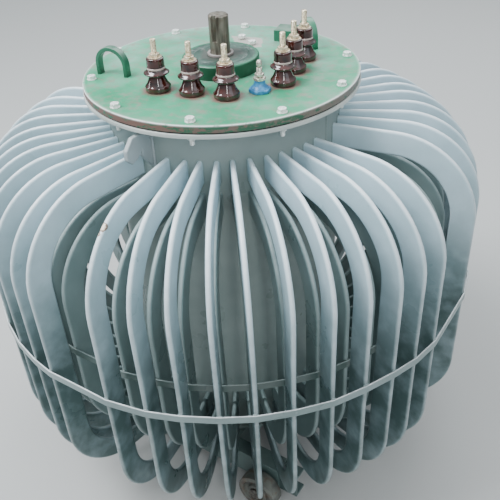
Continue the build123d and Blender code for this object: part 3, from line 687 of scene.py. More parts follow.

# Cover: an eighteen-millimetre disc turned flat. Green enamel over red-brown primer, paler towards the back
# where a sky glare is painted on, scuffed to the metal along the top edge and painted near white there as a
# highlight, stained red round the porcelain feet and rubbed bare in one patch at the back.
COVER_TURNS = 360
COVER_RINGS = 92
COVER_EDGE = 2.2 * MM
EDGE_BAND = 13 * MM
BRINK = 3 * MM
ROW_TURN = np.radians(12.5)
ROW_SPACING = 88 * MM
ROWS = {
    "front_row": (ROW_TURN, -176 * MM, -3 * MM),
    "side_row": (ROW_TURN + np.pi / 2, -187 * MM, 19 * MM),
}
FOOT_RADIUS = 31 * MM
BARE_PATCH = np.array([(-115, 220), (-28, 240), (12, 176), (-48, 139)]) * MM
TOWARDS_BACK = (-0.59, 0.81, 0)
TOWARDS_RIGHT = (0.81, 0.59, 0)
COVER_CLOUD, COVER_GLARE_PATCH = 120 * MM, 90 * MM
SCUFF, TREAD, RIM_FLAKE = 26 * MM, 60 * MM, 26 * MM
PAINT_SPECK, SPECK_HEIGHT = 7 * MM, 0.12 * MM
STAIN_REACH, STAIN_FADE = 30 * MM, 12 * MM
PATCH_RAGGED = 24 * MM
low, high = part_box("cover_plate")
cover_radius, cover_top, cover_low = high[0], high[2], low[2]
cover_middle = (cover_low + cover_top) / 2
cover_profile = rounded([
    (0, cover_low), (cover_radius, cover_low), (cover_radius, cover_middle), (cover_radius, cover_top),
    (cover_radius - EDGE_BAND + MM, cover_top), (cover_radius - EDGE_BAND, cover_top),
], COVER_EDGE, steps=5)
plate_rings = np.linspace(cover_radius - EDGE_BAND, 0, COVER_RINGS)[1:]
plate = np.column_stack([plate_rings, np.full(COVER_RINGS - 1, cover_top)])
cover = lathe(np.concatenate([cover_profile, plate]), COVER_TURNS)
across = np.hypot(cover[..., 0], cover[..., 1])

# Marks of the paint: the rim from a millimetre down, the brink by the distance from the upper edge,
# and the gap from each point to the nearest foot of a bushing.
rim = np.clip((cover_top - cover[..., 2]) / MM - 1.0, 0, 1)
brink = np.clip(1 - np.hypot(across - cover_radius, cover[..., 2] - cover_top) / BRINK, 0, 1)
spots = [turned_about(np.array([offset + ROW_SPACING * (k - 1), distance, 0.0]), turn)
         for turn, distance, offset in ROWS.values() for k in range(3)]
foot_gap = np.min([np.hypot(cover[..., 0] - x, cover[..., 1] - y) - FOOT_RADIUS for x, y, z in spots], 0)


def inside_by(x, y, corners):
    """How far points lie inside a convex outline: the least of their distances to its sides."""
    sides = np.roll(corners, -1, 0) - corners
    sides /= np.linalg.norm(sides, axis=1)[:, None]
    depth = [(y - cy) * sx - (x - cx) * sy for (cx, cy), (sx, sy) in zip(corners, sides)]
    return np.min(-np.array(depth), 0)


patch_depth = inside_by(cover[..., 0], cover[..., 1], BARE_PATCH)

# Brushed green, paler in patches towards the back with a painted sky glare, half dull, with brown scuffs
# where it was trodden. The primer shows as a red ring round each foot, as specks, and along the rim, whose
# upper edge is worn bare and painted near white as a highlight.
cover_enamel, tree = new_material("Green alkyd enamel over red oxide primer")
place = add(tree, "TexCoord", "Object")
cloud, colour = two_tones(tree, place, COVER_CLOUD, "#208961", "#40a57d", 0.3, 0.7, Detail=5.0)
# Painted sky glare: the green goes paler towards the back, in patches.
back = add(tree, "VectorMath", "Value", operation="DOT_PRODUCT", i0=place, i1=TOWARDS_BACK)
back_glare = add(tree, "TexNoise", Vector=place, Scale=1 / COVER_GLARE_PATCH, Detail=6.0)
back_glare = add(tree, "Math", operation="ADD", i0=back, i1=back_glare)
colour = laid_over(tree, colour, back_glare, 0.45, 0.95, 0.6, "#a3c4b9")
fine = add(tree, "TexNoise", Vector=place, Scale=1 / SCUFF, Detail=6.0, Roughness=0.7)
colour = laid_over(tree, colour, fine, 0.5, 0.66, 0.62, "#8f7b73")
trodden = add(tree, "TexNoise", Vector=place, Scale=1 / TREAD, Detail=7.0, Roughness=0.65)
colour = laid_over(tree, colour, trodden, 0.5, 0.66, 0.5, "#8f8a83")
foot = add(tree, "Attribute", "Fac", attribute_name="foot_gap")
seep = add(tree, "Math", operation="MULTIPLY_ADD", i0=fine, i1=-STAIN_REACH, i2=foot)
colour = laid_over(tree, colour, seep, 0.0, -STAIN_FADE, 0.9, "#7f5f58")
patch = add(tree, "Attribute", "Fac", attribute_name="patch_depth")
ragged = add(tree, "Math", operation="MULTIPLY_ADD", i0=fine, i1=PATCH_RAGGED, i2=patch)
colour = laid_over(tree, colour, ragged, 10 * MM, 13 * MM, 0.8, "#b8aba7")
specks = add(tree, "TexNoise", Vector=place, Scale=1 / PAINT_SPECK, Detail=5.0, Roughness=0.75)
colour = laid_over(tree, colour, specks, 0.66, 0.72, 0.6, "#7b625a")

# The rim is primer, red on the left and greyer on the right, with green left on it in the middle.
side = add(tree, "VectorMath", "Value", operation="DOT_PRODUCT", i0=place, i1=TOWARDS_RIGHT)
primer = laid_over(tree, linear("#6d4c42"), side, -0.3, 0.2, 1.0, "#716a60")
middle_first = add(tree, "MapRange", Value=side, From_Min=-0.2, From_Max=-0.1)
middle_last = add(tree, "MapRange", Value=side, From_Min=0.24, From_Max=0.12)
kept = add(tree, "Math", operation="MINIMUM", i0=middle_first, i1=middle_last)
flattened = add(tree, "Mapping", Vector=place, Scale=(1, 1, 2.2))
patches = add(tree, "TexNoise", Vector=flattened, Scale=1 / RIM_FLAKE, Detail=6.0, Roughness=0.65)
kept = add(tree, "Math", operation="MULTIPLY_ADD", i0=kept, i1=0.1, i2=patches)
rim_colour = laid_over(tree, primer, kept, 0.54, 0.61, 1.0, "#2c5f45")
rim_mark = add(tree, "Attribute", "Fac", attribute_name="rim")
colour = add(tree, "Mix", 2, data_type="RGBA", i0=rim_mark, i6=colour, i7=rim_colour)
brink_mark = add(tree, "Attribute", "Fac", attribute_name="brink")
brink_cut = add(tree, "MapRange", Value=brink_mark, From_Min=0.1, From_Max=0.6)
# The upper edge of the rim: worn bare and painted near white as a highlight.
rubbed = add(tree, "MapRange", Value=fine, From_Min=0.3, From_Max=0.45)
rubbed = add(tree, "Math", operation="MULTIPLY", i0=brink_cut, i1=rubbed)
colour = add(tree, "Mix", 2, data_type="RGBA", i0=rubbed, i6=colour, i7=linear("#e2e5e0"))
gloss = add(tree, "MapRange", Value=cloud, To_Min=0.3, To_Max=0.5)
skin = add(tree, "Bump", Height=specks, Distance=SPECK_HEIGHT)
shader = add(tree, "BsdfPrincipled", Base_Color=colour, Roughness=gloss, Normal=skin)
add(tree, "OutputMaterial", Surface=shader)
marks = {"rim": [rim], "brink": [brink], "foot_gap": [foot_gap], "patch_depth": [patch_depth]}
new_piece("cover_turned", [cover], cover_enamel, "tank", "cover_plate", marks=marks)

# Cover bolts: ten zinc-plated hexagon bolts with turned washers, a nut below the flange and a
# few threads standing out of it. The plating is pale and dull. Two more of the same size sit in
# the bare patch and stand a little proud.
BOLT_COUNT = 10
BOLT_FIRST = np.radians(4.5)
BOLT_RADIUS = 6 * MM
BOLT_ACROSS = 19 * MM
BOLT_HEAD = 8 * MM
BOLT_NUT = 11 * MM
BOLT_CIRCLE = 327 * MM
WASHER_RADIUS = 12 * MM
WASHER = 2.5 * MM
WASHER_EDGE, WASHER_TURNS = 0.5 * MM, 40
THREAD_PITCH = 1.75 * MM
THREAD_DEPTH, THREAD_START, THREAD_ROUND = 0.35, 0.12, 0.75
THREAD_EDGE = 0.5
CHAMFER_START, CHAMFER_SLOPE = 0.97, 2.2
HEX_TURNS = 48
PATCH_BOLTS = np.array([(-74, 209, 0), (-23, 181, 0)]) * MM
PROUD = 4 * MM
ZINC_STAIN, ZINC_RUST, STAIN_HEIGHT = 5 * MM, 9 * MM, 0.06 * MM


def hexagon_at(across, heights, turns=HEX_TURNS):
    """Rings of a hexagon head: the radius is half the flats over the cosine of the angle from the
    nearest flat, cut at each end by a cone, which leaves the round chamfer of a real head."""
    angle = np.linspace(0, 2 * np.pi, turns, endpoint=False)
    flat = np.mod(angle + np.pi / 6, np.pi / 3) - np.pi / 6
    hex_radius = across / 2 / np.cos(flat)
    heights = np.asarray(heights)[:, None]
    depth = np.minimum(heights - heights[0], heights[-1] - heights)
    r = np.minimum(hex_radius, across / 2 * CHAMFER_START + depth * CHAMFER_SLOPE)
    return np.stack([r * np.cos(angle), r * np.sin(angle), np.broadcast_to(heights, r.shape)], -1)


def capped(rings, low, high):
    """Rings closed by a pole on the axis at each end."""
    poles = np.zeros((2, rings.shape[1], 3))
    poles[0, :, 2], poles[1, :, 2] = low, high
    return np.concatenate([poles[:1], rings, poles[1:]])


def hexagon_solid(across, low, high, turns=HEX_TURNS):
    """A closed hexagon head between two heights, chamfered at both ends."""
    heights = low + (high - low) * np.array([0, 0.04, 0.1, 0.18, 0.82, 0.9, 0.96, 1])
    return capped(hexagon_at(across, heights, turns), low, high)


def threaded(radius, low, high, pitch, turns=24):
    """A threaded rod: its radius follows a triangle wave of the height over the pitch less the
    turn. It starts a little thinner and its last pitch is rounded off like a lentil."""
    steps = int((high - low) / pitch * 4)
    z = np.linspace(low, high, steps)[:, None]
    angle = np.linspace(0, 2 * np.pi, turns, endpoint=False)[None]
    wave = np.abs(np.mod(z / pitch - angle / (2 * np.pi), 1) * 2 - 1)
    r = radius - pitch * THREAD_DEPTH * wave - radius * THREAD_START * (1 - np.clip((z - low) / pitch, 0, 1))
    r = r * np.sqrt(1 - THREAD_ROUND * np.clip((z - high + pitch) / pitch, 0, 1) ** 2)
    rod = np.stack([r * np.cos(angle), r * np.sin(angle), np.broadcast_to(z, r.shape)], -1)
    return capped(rod, low, high)


def washer_solid(radius, bore, low, high):
    """A turned washer with softened edges."""
    ring = [(bore, low), (radius, low), (radius, high), (bore, high), (bore, low)]
    return lathe(rounded(ring, WASHER_EDGE, 2), WASHER_TURNS)


low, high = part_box("cover_bolts")
nut_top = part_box("tank_flange")[0][2]

# Zinc that has gone to white oxide: nearly white and hardly metallic, with a few brown spots.
zinc, tree = new_material("Zinc-plated steel, dulled")
place = add(tree, "TexCoord", "Object")
stain, colour = two_tones(tree, place, ZINC_STAIN, "#c9cfc8", "#fafdf9", 0.3, 0.55, Detail=5.0)
bloom = add(tree, "TexNoise", Vector=place, Scale=1 / ZINC_RUST, Detail=6.0)
colour = laid_over(tree, colour, bloom, 0.62, 0.72, 0.4, "#8a7a66")
skin = add(tree, "Bump", Height=stain, Distance=STAIN_HEIGHT)
shader = add(tree, "BsdfPrincipled", Base_Color=colour, Metallic=0.25, Roughness=0.38, Normal=skin)
add(tree, "OutputMaterial", Surface=shader)
bolt_grids = []
bolt_noise = np.random.default_rng(3)
for k in range(BOLT_COUNT):
    angle = BOLT_FIRST + 2 * np.pi * k / BOLT_COUNT
    place = np.array([BOLT_CIRCLE * np.cos(angle), BOLT_CIRCLE * np.sin(angle), 0])
    twist = bolt_noise.uniform(0, np.pi)
    solids = [
        hexagon_solid(BOLT_ACROSS, cover_top + WASHER, cover_top + WASHER + BOLT_HEAD),
        hexagon_solid(BOLT_ACROSS, nut_top - BOLT_NUT, nut_top),
        threaded(BOLT_RADIUS, low[2], nut_top - BOLT_NUT + MM, THREAD_PITCH),
        washer_solid(WASHER_RADIUS, BOLT_RADIUS, cover_top, cover_top + WASHER),
    ]
    bolt_grids += [turned_about(solid, twist) + place for solid in solids]
piece = new_piece("cover_bolts_zinc", bolt_grids, zinc, "tank", "cover_bolts", sharp=THREAD_EDGE)
head = hexagon_solid(BOLT_ACROSS, cover_top + PROUD, cover_top + PROUD + BOLT_HEAD)
shank = threaded(BOLT_RADIUS, cover_top - MM, cover_top + PROUD + MM, THREAD_PITCH)
patch_grids = [solid + spot for spot in PATCH_BOLTS for solid in (head, shank)]
new_piece("patch_bolts_zinc", patch_grids, zinc, "tank", sharp=THREAD_EDGE)

# Hub and seal ring: a turned boss bolted down from inside that holds the shaft's bearing. Its side is
# painted a dark green for the shade on it, its top is rubbed pale with grease trodden in round the seal, a
# grey ring that keeps water off the shaft.
HUB_BORE = 26.2 * MM
HUB_CHAMFER, HUB_EDGE = 3 * MM, 0.8 * MM
HUB_GROOVE, GROOVE_DEPTH = 70 * MM, 0.8 * MM
HUB_TURNS = 180
SEAL_EDGE, SEAL_TURNS = 1.2 * MM, 120
HUB_CLOUD = 50 * MM
HUB_SCRATCH, HUB_SCRATCH_HEIGHT = 15 * MM, 0.15 * MM
BAND_FROM, BAND_TO, BAND_RAGGED = 92 * MM, 96 * MM, 14 * MM
GREASE_FROM, GREASE_TO, GREASE_RAGGED = 18 * MM, 6 * MM, 80 * MM
low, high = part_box("bearing_hub")
hub_radius = high[0]

# The flank is a glossy green painted dark for the shade on it; the top is worn thin and scratched grey
# inside a band of green that is left along its edge, and dark with grease round the seal.
hub_green, tree = new_material("Green alkyd enamel, hub")
place = add(tree, "TexCoord", "Object")
upward = add(tree, "SeparateXYZ", 2, Vector=add(tree, "NewGeometry", "Normal"))
level = add(tree, "VectorMath", operation="MULTIPLY", i0=place, i1=(1, 1, 0))
reach = add(tree, "VectorMath", "Value", operation="LENGTH", i0=level)
fine = add(tree, "TexNoise", Vector=place, Scale=1 / HUB_SCRATCH, Detail=6.0, Roughness=0.7)
_, shaded_flank = two_tones(tree, place, HUB_CLOUD, "#17452f", "#2c5f46", Detail=5.0)
_, face = two_tones(tree, place, HUB_CLOUD, "#284239", "#47675b", Detail=5.0)
face = laid_over(tree, face, fine, 0.53, 0.64, 0.45, "#a3aaa5")
worn_in = add(tree, "Math", operation="MULTIPLY_ADD", i0=fine, i1=BAND_RAGGED, i2=reach)
face = laid_over(tree, face, worn_in, BAND_FROM, BAND_TO, 1.0, "#2c7155")
greased = add(tree, "Math", operation="MULTIPLY_ADD", i0=fine, i1=-GREASE_RAGGED, i2=reach)
face = laid_over(tree, face, greased, GREASE_FROM, GREASE_TO, 0.85, "#474b45")
# What faces up takes the worn top, the rest the flank's painted shade.
on_top = add(tree, "MapRange", Value=upward, From_Min=0.5, From_Max=0.9)
colour = add(tree, "Mix", 2, data_type="RGBA", i0=on_top, i6=shaded_flank, i7=face)
skin = add(tree, "Bump", Height=fine, Distance=HUB_SCRATCH_HEIGHT)
shader = add(tree, "BsdfPrincipled", Base_Color=colour, Roughness=0.36, Normal=skin)
add(tree, "OutputMaterial", Surface=shader)
groove_floor = high[2] - GROOVE_DEPTH
hub_profile = rounded([
    (HUB_BORE, low[2]), (hub_radius, low[2]), (hub_radius, high[2] - HUB_CHAMFER),
    (hub_radius - HUB_CHAMFER, high[2]), (HUB_GROOVE + 2 * MM, high[2]), (HUB_GROOVE + MM, groove_floor),
    (HUB_GROOVE - MM, groove_floor), (HUB_GROOVE - 2 * MM, high[2]), (HUB_BORE, high[2]), (HUB_BORE, low[2]),
], HUB_EDGE, 2)
hub = lathe(hub_profile, HUB_TURNS)
piece = new_piece("bearing_hub_turned", [hub], hub_green, "tank", "bearing_hub", sharp=TURNED_EDGE)

# A dusty warm grey, duller than the green, with little of the painted shade and dirt.
seal_enamel = enamelled("Grey enamel, seal ring", "#a39a97", "#847b78", 0.2)
low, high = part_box("seal_ring")
seal_profile = rounded([
    (HUB_BORE, low[2]), (high[0], low[2]), (high[0], high[2]), (HUB_BORE, high[2]), (HUB_BORE, low[2]),
], SEAL_EDGE, 3)
seal = lathe(seal_profile, SEAL_TURNS)
piece = new_piece("seal_ring_turned", [seal], seal_enamel, "tank", "seal_ring", sharp=TURNED_EDGE)

# Shaft: turned medium-carbon steel with a milled keyway, browned by weather and oil, with the
# turning marks still on it. A collar under the hub holds it down.
SHAFT_RADIUS = 25 * MM
SHAFT_CHAMFER = 3 * MM
SHOULDER = 41 * MM
JOURNAL_RADIUS = 26 * MM
COLLAR_RADIUS = 38 * MM
COLLAR_LOW, COLLAR_HIGH = 0.3 * MM, 8.3 * MM
KEYWAY_WIDTH = 14 * MM
KEYWAY_DEPTH = 5.5 * MM
KEYWAY_LENGTH = 62 * MM
KEYWAY_ANGLE = np.radians(-86)
KEYWAY_EDGE = 0.4
KEYWAY_END_STEP, KEYWAY_SIDE_STEP = 0.3 * MM, 0.002
SHAFT_TURNS = 128
OIL_STREAK, STREAK_DRAWN = 8 * MM, 0.12
SHAFT_RUST = 14 * MM
TURNING_LINE, LINE_DRAWN, LINE_HEIGHT = 1.5 * MM, 0.16, 0.05 * MM
low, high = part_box("rotor_shaft")
shaft_top = high[2]
outline = [
    (0, low[2]), (JOURNAL_RADIUS, low[2]), (JOURNAL_RADIUS, cover_top + COLLAR_LOW),
    (COLLAR_RADIUS, cover_top + COLLAR_LOW), (COLLAR_RADIUS, cover_top + COLLAR_HIGH),
    (JOURNAL_RADIUS, cover_top + COLLAR_HIGH), (JOURNAL_RADIUS, cover_top + SHOULDER),
    (SHAFT_RADIUS, cover_top + SHOULDER), (SHAFT_RADIUS, shaft_top - KEYWAY_LENGTH - KEYWAY_END_STEP),
    (SHAFT_RADIUS, shaft_top - KEYWAY_LENGTH), (SHAFT_RADIUS, shaft_top - SHAFT_CHAMFER),
    (SHAFT_RADIUS - SHAFT_CHAMFER, shaft_top), (SHAFT_RADIUS - KEYWAY_DEPTH - MM, shaft_top), (0, shaft_top),
]
shaft = lathe(np.array(outline), SHAFT_TURNS)

# The keyway: the nearest lines of the grid move to its two sides, and between them the radius falls
# to its flat floor, the depth's distance from the axis over the cosine of the angle.
key_angle = np.arcsin(KEYWAY_WIDTH / 2 / SHAFT_RADIUS)
turn = np.linspace(-np.pi, np.pi, SHAFT_TURNS, endpoint=False)
for sign in (-1, 1):
    for away in (key_angle - KEYWAY_SIDE_STEP, key_angle + KEYWAY_SIDE_STEP):
        turn[np.abs(turn - sign * away).argmin()] = sign * away
turn = np.sort(turn)
radius = np.hypot(shaft[..., 0], shaft[..., 1])
in_slot = (shaft[..., 2] >= shaft_top - KEYWAY_LENGTH - MERGED) & (np.abs(turn) < key_angle)
floor_radius = (SHAFT_RADIUS - KEYWAY_DEPTH) / np.cos(np.clip(turn, -key_angle, key_angle))
radius = np.where(in_slot, np.minimum(radius, floor_radius), radius)
angle = turn + KEYWAY_ANGLE
shaft = np.stack([radius * np.cos(angle), radius * np.sin(angle), shaft[..., 2]], -1)

# Bare steel filmed with old oil: brown-grey streaks down it, half metallic, with brown rust coming
# through and fine turning lines round it, drawn a few times too coarse.
shaft_steel, tree = new_material("Turned carbon steel, browned")
place = add(tree, "TexCoord", "Object")
drawn = add(tree, "Mapping", Vector=place, Scale=(1, 1, STREAK_DRAWN))
_, colour = two_tones(tree, drawn, OIL_STREAK, "#443e35", "#989387", 0.3, 0.7, Detail=5.0)
bloom = add(tree, "TexNoise", Vector=place, Scale=1 / SHAFT_RUST, Detail=6.0)
colour = laid_over(tree, colour, bloom, 0.52, 0.68, 0.4, "#6a4f3b")
turned = add(tree, "Mapping", Vector=place, Scale=(LINE_DRAWN, LINE_DRAWN, 1))
lines = add(tree, "TexNoise", Vector=turned, Scale=1 / TURNING_LINE)
skin = add(tree, "Bump", Height=lines, Distance=LINE_HEIGHT)
shader = add(tree, "BsdfPrincipled", Base_Color=colour, Metallic=0.45, Roughness=0.42, Normal=skin)
add(tree, "OutputMaterial", Surface=shader)
piece = new_piece("rotor_shaft_turned", [shaft], shaft_steel, "shaft", "rotor_shaft", sharp=KEYWAY_EDGE)

# Bushings: brown glazed porcelain with a plain foot, a bell, a shed and a short cap, each held down
# by the nut on its stud. The glaze is glassy and runs in streaks, and the cement joint shows as a
# pinkish ring under the cap.
CEMENT_MIDDLE = 55.8 * MM
CEMENT_HALF = 2.2 * MM
BUSHING_HEIGHT = 80 * MM
BUSHING_ROUND = 3 * MM
BUSHING_TURNS = 96
GLAZE_CLOUD = 18 * MM
GLAZE_RUN, RUN_DRAWN, RUN_HEIGHT = 5 * MM, 0.15, 0.35 * MM
BRASS_TARNISH, TARNISH_HEIGHT = 5 * MM, 0.05 * MM

# Glass on clay: near black with red-brown where the glaze is thick, and a hard clear shine whose
# highlights wander where it ran. The cement joint is the one matt and pale place.
porcelain, tree = new_material("Brown glazed porcelain")
place = add(tree, "TexCoord", "Object")
_, glaze = two_tones(tree, place, GLAZE_CLOUD, "#180704", "#4a1a12", Detail=3.0)
joint_mark = add(tree, "Attribute", "Fac", attribute_name="joint")
colour = add(tree, "Mix", 2, data_type="RGBA", i0=joint_mark, i6=glaze, i7=linear("#c8b4ad"))
run = add(tree, "Mapping", Vector=place, Scale=(1, 1, RUN_DRAWN))
drips = add(tree, "TexNoise", Vector=run, Scale=1 / GLAZE_RUN, Detail=2.0)
skin = add(tree, "Bump", Height=drips, Distance=RUN_HEIGHT)
shader = add(tree, "BsdfPrincipled", Base_Color=colour, Roughness=0.08, Coat_Weight=1.0, Coat_Roughness=0.03,
             Normal=skin)
add(tree, "OutputMaterial", Surface=shader)

# Outline of a bushing in millimetres, from the foot's middle out and up to the cap's.
bushing_outline = np.array([
    (0, 0), (29, 0), (31, 2), (31, 12), (30, 13.6), (27.5, 16.5), (24.8, 20.5), (22.8, 25), (20.6, 30),
    (19, 34.5), (18.5, 37.5), (19.4, 39.4), (24, 40.8), (29.2, 41.8), (30.5, 43.2), (30.5, 44.8),
    (29.4, 46), (26, 48.4), (23.4, 51), (22.1, 53.4), (22, 54), (22.2, 55.8), (22, 57.5), (21, 58),
    (21, 76), (20.2, 78.8), (18, 80), (0, 80),
]) * MM
bushing_profile = rounded(bushing_outline, BUSHING_ROUND, 3)
joint = np.clip(3 - 3 * np.abs(bushing_profile[:, 1] - CEMENT_MIDDLE) / CEMENT_HALF, 0, 1)
bushing_profile[:, 1] += cover_top

# Tin worn through to the brass: cream with a yellow-brown tarnish in the hollows, softly metallic.
brass, tree = new_material("Machined brass, tinned")
place = add(tree, "TexCoord", "Object")
tarnish, colour = two_tones(tree, place, BRASS_TARNISH, "#a5906e", "#f3e4c8", 0.3, 0.55, Detail=5.0)
skin = add(tree, "Bump", Height=tarnish, Distance=TARNISH_HEIGHT)
shader = add(tree, "BsdfPrincipled", Base_Color=colour, Metallic=0.6, Roughness=0.3, Normal=skin)
add(tree, "OutputMaterial", Surface=shader)
STUD_RADIUS = 7 * MM
STUD_PITCH = 2 * MM
STUD_WASHER_RADIUS, STUD_WASHER = 17 * MM, 2 * MM
STUD_ACROSS, STUD_NUT = 22 * MM, 8 * MM
washer_low = cover_top + BUSHING_HEIGHT
nut_low = washer_low + STUD_WASHER
nut_high = nut_low + STUD_NUT
stud_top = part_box("terminal_studs_front_row")[1][2]
for row, (row_turn, distance, offset) in ROWS.items():
    bushing_grids, joints, stud_grids = [], [], []
    for k in range(3):
        spot = turned_about(np.array([offset + ROW_SPACING * (k - 1), distance, 0.0]), row_turn)
        body_grid = lathe(bushing_profile, BUSHING_TURNS)
        bushing_grids.append(body_grid + spot)
        joints.append(np.broadcast_to(joint[:, None], body_grid.shape[:2]))
        twist = bolt_noise.uniform(0, np.pi)
        parts = [
            washer_solid(STUD_WASHER_RADIUS, STUD_RADIUS, washer_low, nut_low),
            hexagon_solid(STUD_ACROSS, nut_low, nut_high),
            threaded(STUD_RADIUS, nut_high - MM, stud_top, STUD_PITCH),
        ]
        stud_grids += [turned_about(part, twist) + spot for part in parts]
    piece = new_piece(f"bushings_{row}_glazed", bushing_grids, porcelain, "tank", f"bushings_{row}",
                      marks={"joint": joints})
    piece = new_piece(f"terminal_studs_{row}_threaded", stud_grids, brass, "tank", f"terminal_studs_{row}",
                      sharp=THREAD_EDGE)

# Filling fitting: a steel hexagon foot that flares in to a neck, brushed blue and screwed into the
# cover, with a nickel-plated plug, its lock nut and a small turned tip screwed into the neck.
FITTING_SPOT = np.array([172, -91, 0]) * MM
FITTING_ACROSS, FITTING_HEX = 48 * MM, 9 * MM
PLUG_ACROSS, PLUG_LOW, PLUG_HIGH = 26 * MM, 28 * MM, 35 * MM
LOCK_ACROSS, LOCK_LOW, LOCK_HIGH = 20 * MM, 38 * MM, 44 * MM
PLUG_RADIUS, PLUG_PITCH, PLUG_THREAD_TOP = 7 * MM, 1.5 * MM, 58 * MM
NECK_TURNS, TIP_TURNS = 64, 24
BLUE_CLOUD, NICKEL_DULL = 9 * MM, 4 * MM

# One thick coat with the brush's marks in it: a clear blue, glossy, paler where the brush dragged.
blue_enamel, tree = new_material("Blue alkyd enamel")
place = add(tree, "TexCoord", "Object")
_, colour = two_tones(tree, place, BLUE_CLOUD, "#24699f", "#4d97c6", 0.3, 0.7)
add(tree, "OutputMaterial", Surface=add(tree, "BsdfPrincipled", Base_Color=colour, Roughness=0.3))

# Plating on a smooth turned face: a warm silver that mirrors its surroundings, dulled in spots.
nickel, tree = new_material("Nickel-plated brass")
place = add(tree, "TexCoord", "Object")
_, colour = two_tones(tree, place, NICKEL_DULL, "#b3ac9c", "#ebe6da", 0.3, 0.6)
shader = add(tree, "BsdfPrincipled", Base_Color=colour, Metallic=0.7, Roughness=0.27)
add(tree, "OutputMaterial", Surface=shader)

# Outlines of the neck and of the plug's tip: radius and height above the cover, in millimetres.
neck = rounded([(0, 8), (22, 8), (22, 10), (15.5, 16), (13, 22), (13, 28), (0, 28)], 2) * MM
neck[:, 1] += cover_top
foot_parts = [hexagon_solid(FITTING_ACROSS, cover_top, cover_top + FITTING_HEX), lathe(neck, NECK_TURNS)]
grids = [turned_about(part, ROW_TURN) + FITTING_SPOT for part in foot_parts]
piece = new_piece("fitting_base_blue", grids, blue_enamel, "tank", "fitting_base", sharp=THREAD_EDGE)
tip = rounded([(0, 56), (3.5, 56), (3.5, 61), (6.5, 62), (6.5, 70), (4, 75), (0, 75)], 1) * MM
tip[:, 1] += cover_top
plug_parts = [
    hexagon_solid(PLUG_ACROSS, cover_top + PLUG_LOW, cover_top + PLUG_HIGH),
    hexagon_solid(LOCK_ACROSS, cover_top + LOCK_LOW, cover_top + LOCK_HIGH),
    threaded(PLUG_RADIUS, cover_top + PLUG_HIGH - MM, cover_top + PLUG_THREAD_TOP, PLUG_PITCH),
    lathe(tip, TIP_TURNS),
]
grids = [turned_about(part, ROW_TURN) + FITTING_SPOT for part in plug_parts]
piece = new_piece("fitting_plug_nickel", grids, nickel, "tank", "fitting_plug", sharp=THREAD_EDGE)

# Lifting eyes and drive seat: flat bar bent to an arch, and a machined block, both welded to the
# cover and enamelled with it.
EYE_REACH = 272 * MM
EYE_SPOTS = {
    "cover_eye_left": (np.radians(-143.5), np.radians(8)),
    "cover_eye_right": (np.radians(64.5), np.radians(-40)),
}
EYE_HALF, EYE_RISE, EYE_BAR, EYE_DEPTH = 45 * MM, 72 * MM, 10 * MM, 20 * MM
EYE_EDGE, SEAT_EDGE = 2 * MM, 1.5 * MM
EYE_STEPS = 40

# The cover's green, painted darker for the shade on the eyes and the seat.
eye_green_shaded = enamelled("Green alkyd enamel, brushed", "#357a5d", "#27604a", 0.2)
for node, (place_angle, turn) in EYE_SPOTS.items():
    radius = EYE_HALF - EYE_BAR / 2
    leg = EYE_RISE - EYE_HALF
    bend = np.linspace(np.pi, 0, EYE_STEPS)
    ring = np.column_stack([radius * np.cos(bend), leg + radius * np.sin(bend)])
    line = np.concatenate([[(-radius, 0)], ring, [(radius, 0)]])
    facing_out = np.concatenate([[(-1, 0)], np.column_stack([np.cos(bend), np.sin(bend)]), [(1, 0)]])
    half, deep = EYE_BAR / 2, EYE_DEPTH / 2
    bar = [(0, -deep), (half, -deep), (half, deep), (-half, deep), (-half, -deep), (0, -deep)]
    corner = rounded(bar, EYE_EDGE)
    rings = np.stack([
        line[:, None, 0] + facing_out[:, None, 0] * corner[None, :, 0],
        np.broadcast_to(corner[None, :, 1], (len(line), len(corner))),
        line[:, None, 1] + facing_out[:, None, 1] * corner[None, :, 0] + cover_top,
    ], -1)
    rings = turned_about(rings, turn) + EYE_REACH * np.array([np.cos(place_angle), np.sin(place_angle), 0])
    new_piece(f"{node}_bent", [rings], eye_green_shaded, "tank", node, ends=True)
painted(softened("drive_seat", SEAT_EDGE), eye_green_shaded)

# Floor and light: a pale plain studio floor under an even overcast sky, bright overhead and dim
# towards the ground, with a large soft box in front on the left.
FLOOR_SIZE = 14.0
SKY_LOW, SKY_HIGH = 0.15, 1.75
floor_mesh = bpy.data.meshes.new("studio_floor")
half = FLOOR_SIZE / 2
floor_corners = [(-half, -half, 0), (half, -half, 0), (half, half, 0), (-half, half, 0)]
floor_mesh.from_pydata(floor_corners, [], [(0, 1, 2, 3)])
floor = bpy.data.objects.new("studio_floor", floor_mesh)
bpy.context.scene.collection.objects.link(floor)

# Matt grey paint: it throws soft light up between the tubes and shows only a blurred shade.
floor_paint, tree = new_material("Pale matt studio floor")
shader = add(tree, "BsdfPrincipled", Base_Color=linear("#b6b7b5"), Roughness=0.9)
add(tree, "OutputMaterial", Surface=shader)
painted(floor, floor_paint)

world = bpy.data.worlds.new("overcast")
world.use_nodes = True
bpy.context.scene.world = world
sky = world.node_tree
sky.nodes.clear()
upward = add(sky, "SeparateXYZ", 2, Vector=add(sky, "TexCoord", "Generated"))
strength = add(sky, "MapRange", Value=upward, From_Min=0.0, From_Max=1.0, To_Min=SKY_LOW, To_Max=SKY_HIGH)
background = add(sky, "Background", Color=linear("#e2e9ee"), Strength=strength)
add(sky, "OutputWorld", Surface=background)


def area_light(name, place, aim, size, watts, colour):
    """A soft box, (width, height) in size, that looks from its place to its aim."""
    data = bpy.data.lights.new(name, "AREA")
    data.shape = "RECTANGLE"
    data.size, data.size_y = size
    data.energy = watts
    data.color = linear(colour)[:3]
    lamp = bpy.data.objects.new(name, data)
    lamp.location = place
    lamp.rotation_euler = (Vector(aim) - Vector(place)).to_track_quat("-Z", "Y").to_euler()
    bpy.context.scene.collection.objects.link(lamp)


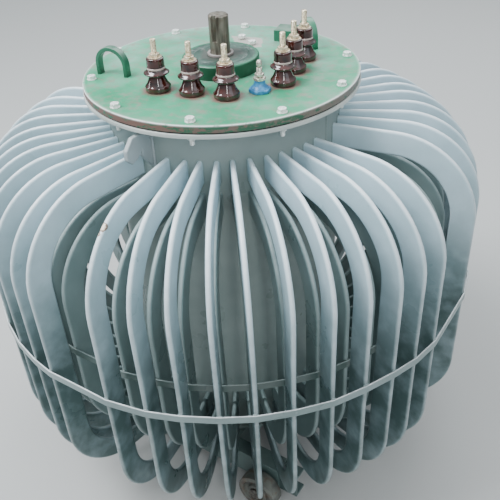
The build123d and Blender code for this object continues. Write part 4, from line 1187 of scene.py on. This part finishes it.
area_light("sky_front_left", (-1.9, -1.9, 5.2), (0, 0, 0.9), (2.4, 2.4), 385, "#f6faff")
area_light("sky_right", (3.6, -0.6, 3.4), (0, 0, 0.8), (2.6, 2.6), 22, "#eef4ff")
area_light("sky_behind", (-0.5, 3.4, 4.6), (0, 0, 1.0), (3.2, 3.2), 130, "#f6faff")
area_light("strip_left", (-2.4, -1.3, 2.6), (0, 0, 1.2), (0.18, 2.2), 18, "#ffffff")
area_light("strip_right", (1.9, -2.2, 2.6), (0, 0, 1.2), (0.18, 2.2), 28, "#ffffff")

# Camera: where the photograph was taken from, at standing height and about a metre from the cage,
# with its place, turn and lens fitted to the rim of the cover, its bolts and the tubes.
CAMERA_AZIMUTH = np.radians(-54)
CAMERA_DISTANCE = 1.689
CAMERA_HEIGHT = 1.753
CAMERA_PITCH = 0.6121
CAMERA_YAW = 0.0275
CAMERA_ROLL = -0.0554
FOCAL_SHARE = 681.4 / 500
SENSOR = 36.0

camera_data = bpy.data.cameras.new("photo_camera")
camera_data.sensor_width = SENSOR
camera_data.lens = FOCAL_SHARE * SENSOR
camera = bpy.data.objects.new("photo_camera", camera_data)
bpy.context.scene.collection.objects.link(camera)
heading = CAMERA_AZIMUTH + np.pi - CAMERA_YAW
level = np.cos(CAMERA_PITCH)
ahead = Vector((np.cos(heading) * level, np.sin(heading) * level, -np.sin(CAMERA_PITCH)))
right = Vector((np.sin(heading), -np.cos(heading), 0))
above = right.cross(ahead)
rolled_right = right * np.cos(CAMERA_ROLL) + above * np.sin(CAMERA_ROLL)
rolled_up = above * np.cos(CAMERA_ROLL) - right * np.sin(CAMERA_ROLL)
camera_turn = Matrix((rolled_right, rolled_up, -ahead)).transposed().to_4x4()
camera_x, camera_y = CAMERA_DISTANCE * np.cos(CAMERA_AZIMUTH), CAMERA_DISTANCE * np.sin(CAMERA_AZIMUTH)
camera.matrix_world = Matrix.Translation((camera_x, camera_y, CAMERA_HEIGHT)) @ camera_turn
bpy.context.scene.camera = camera
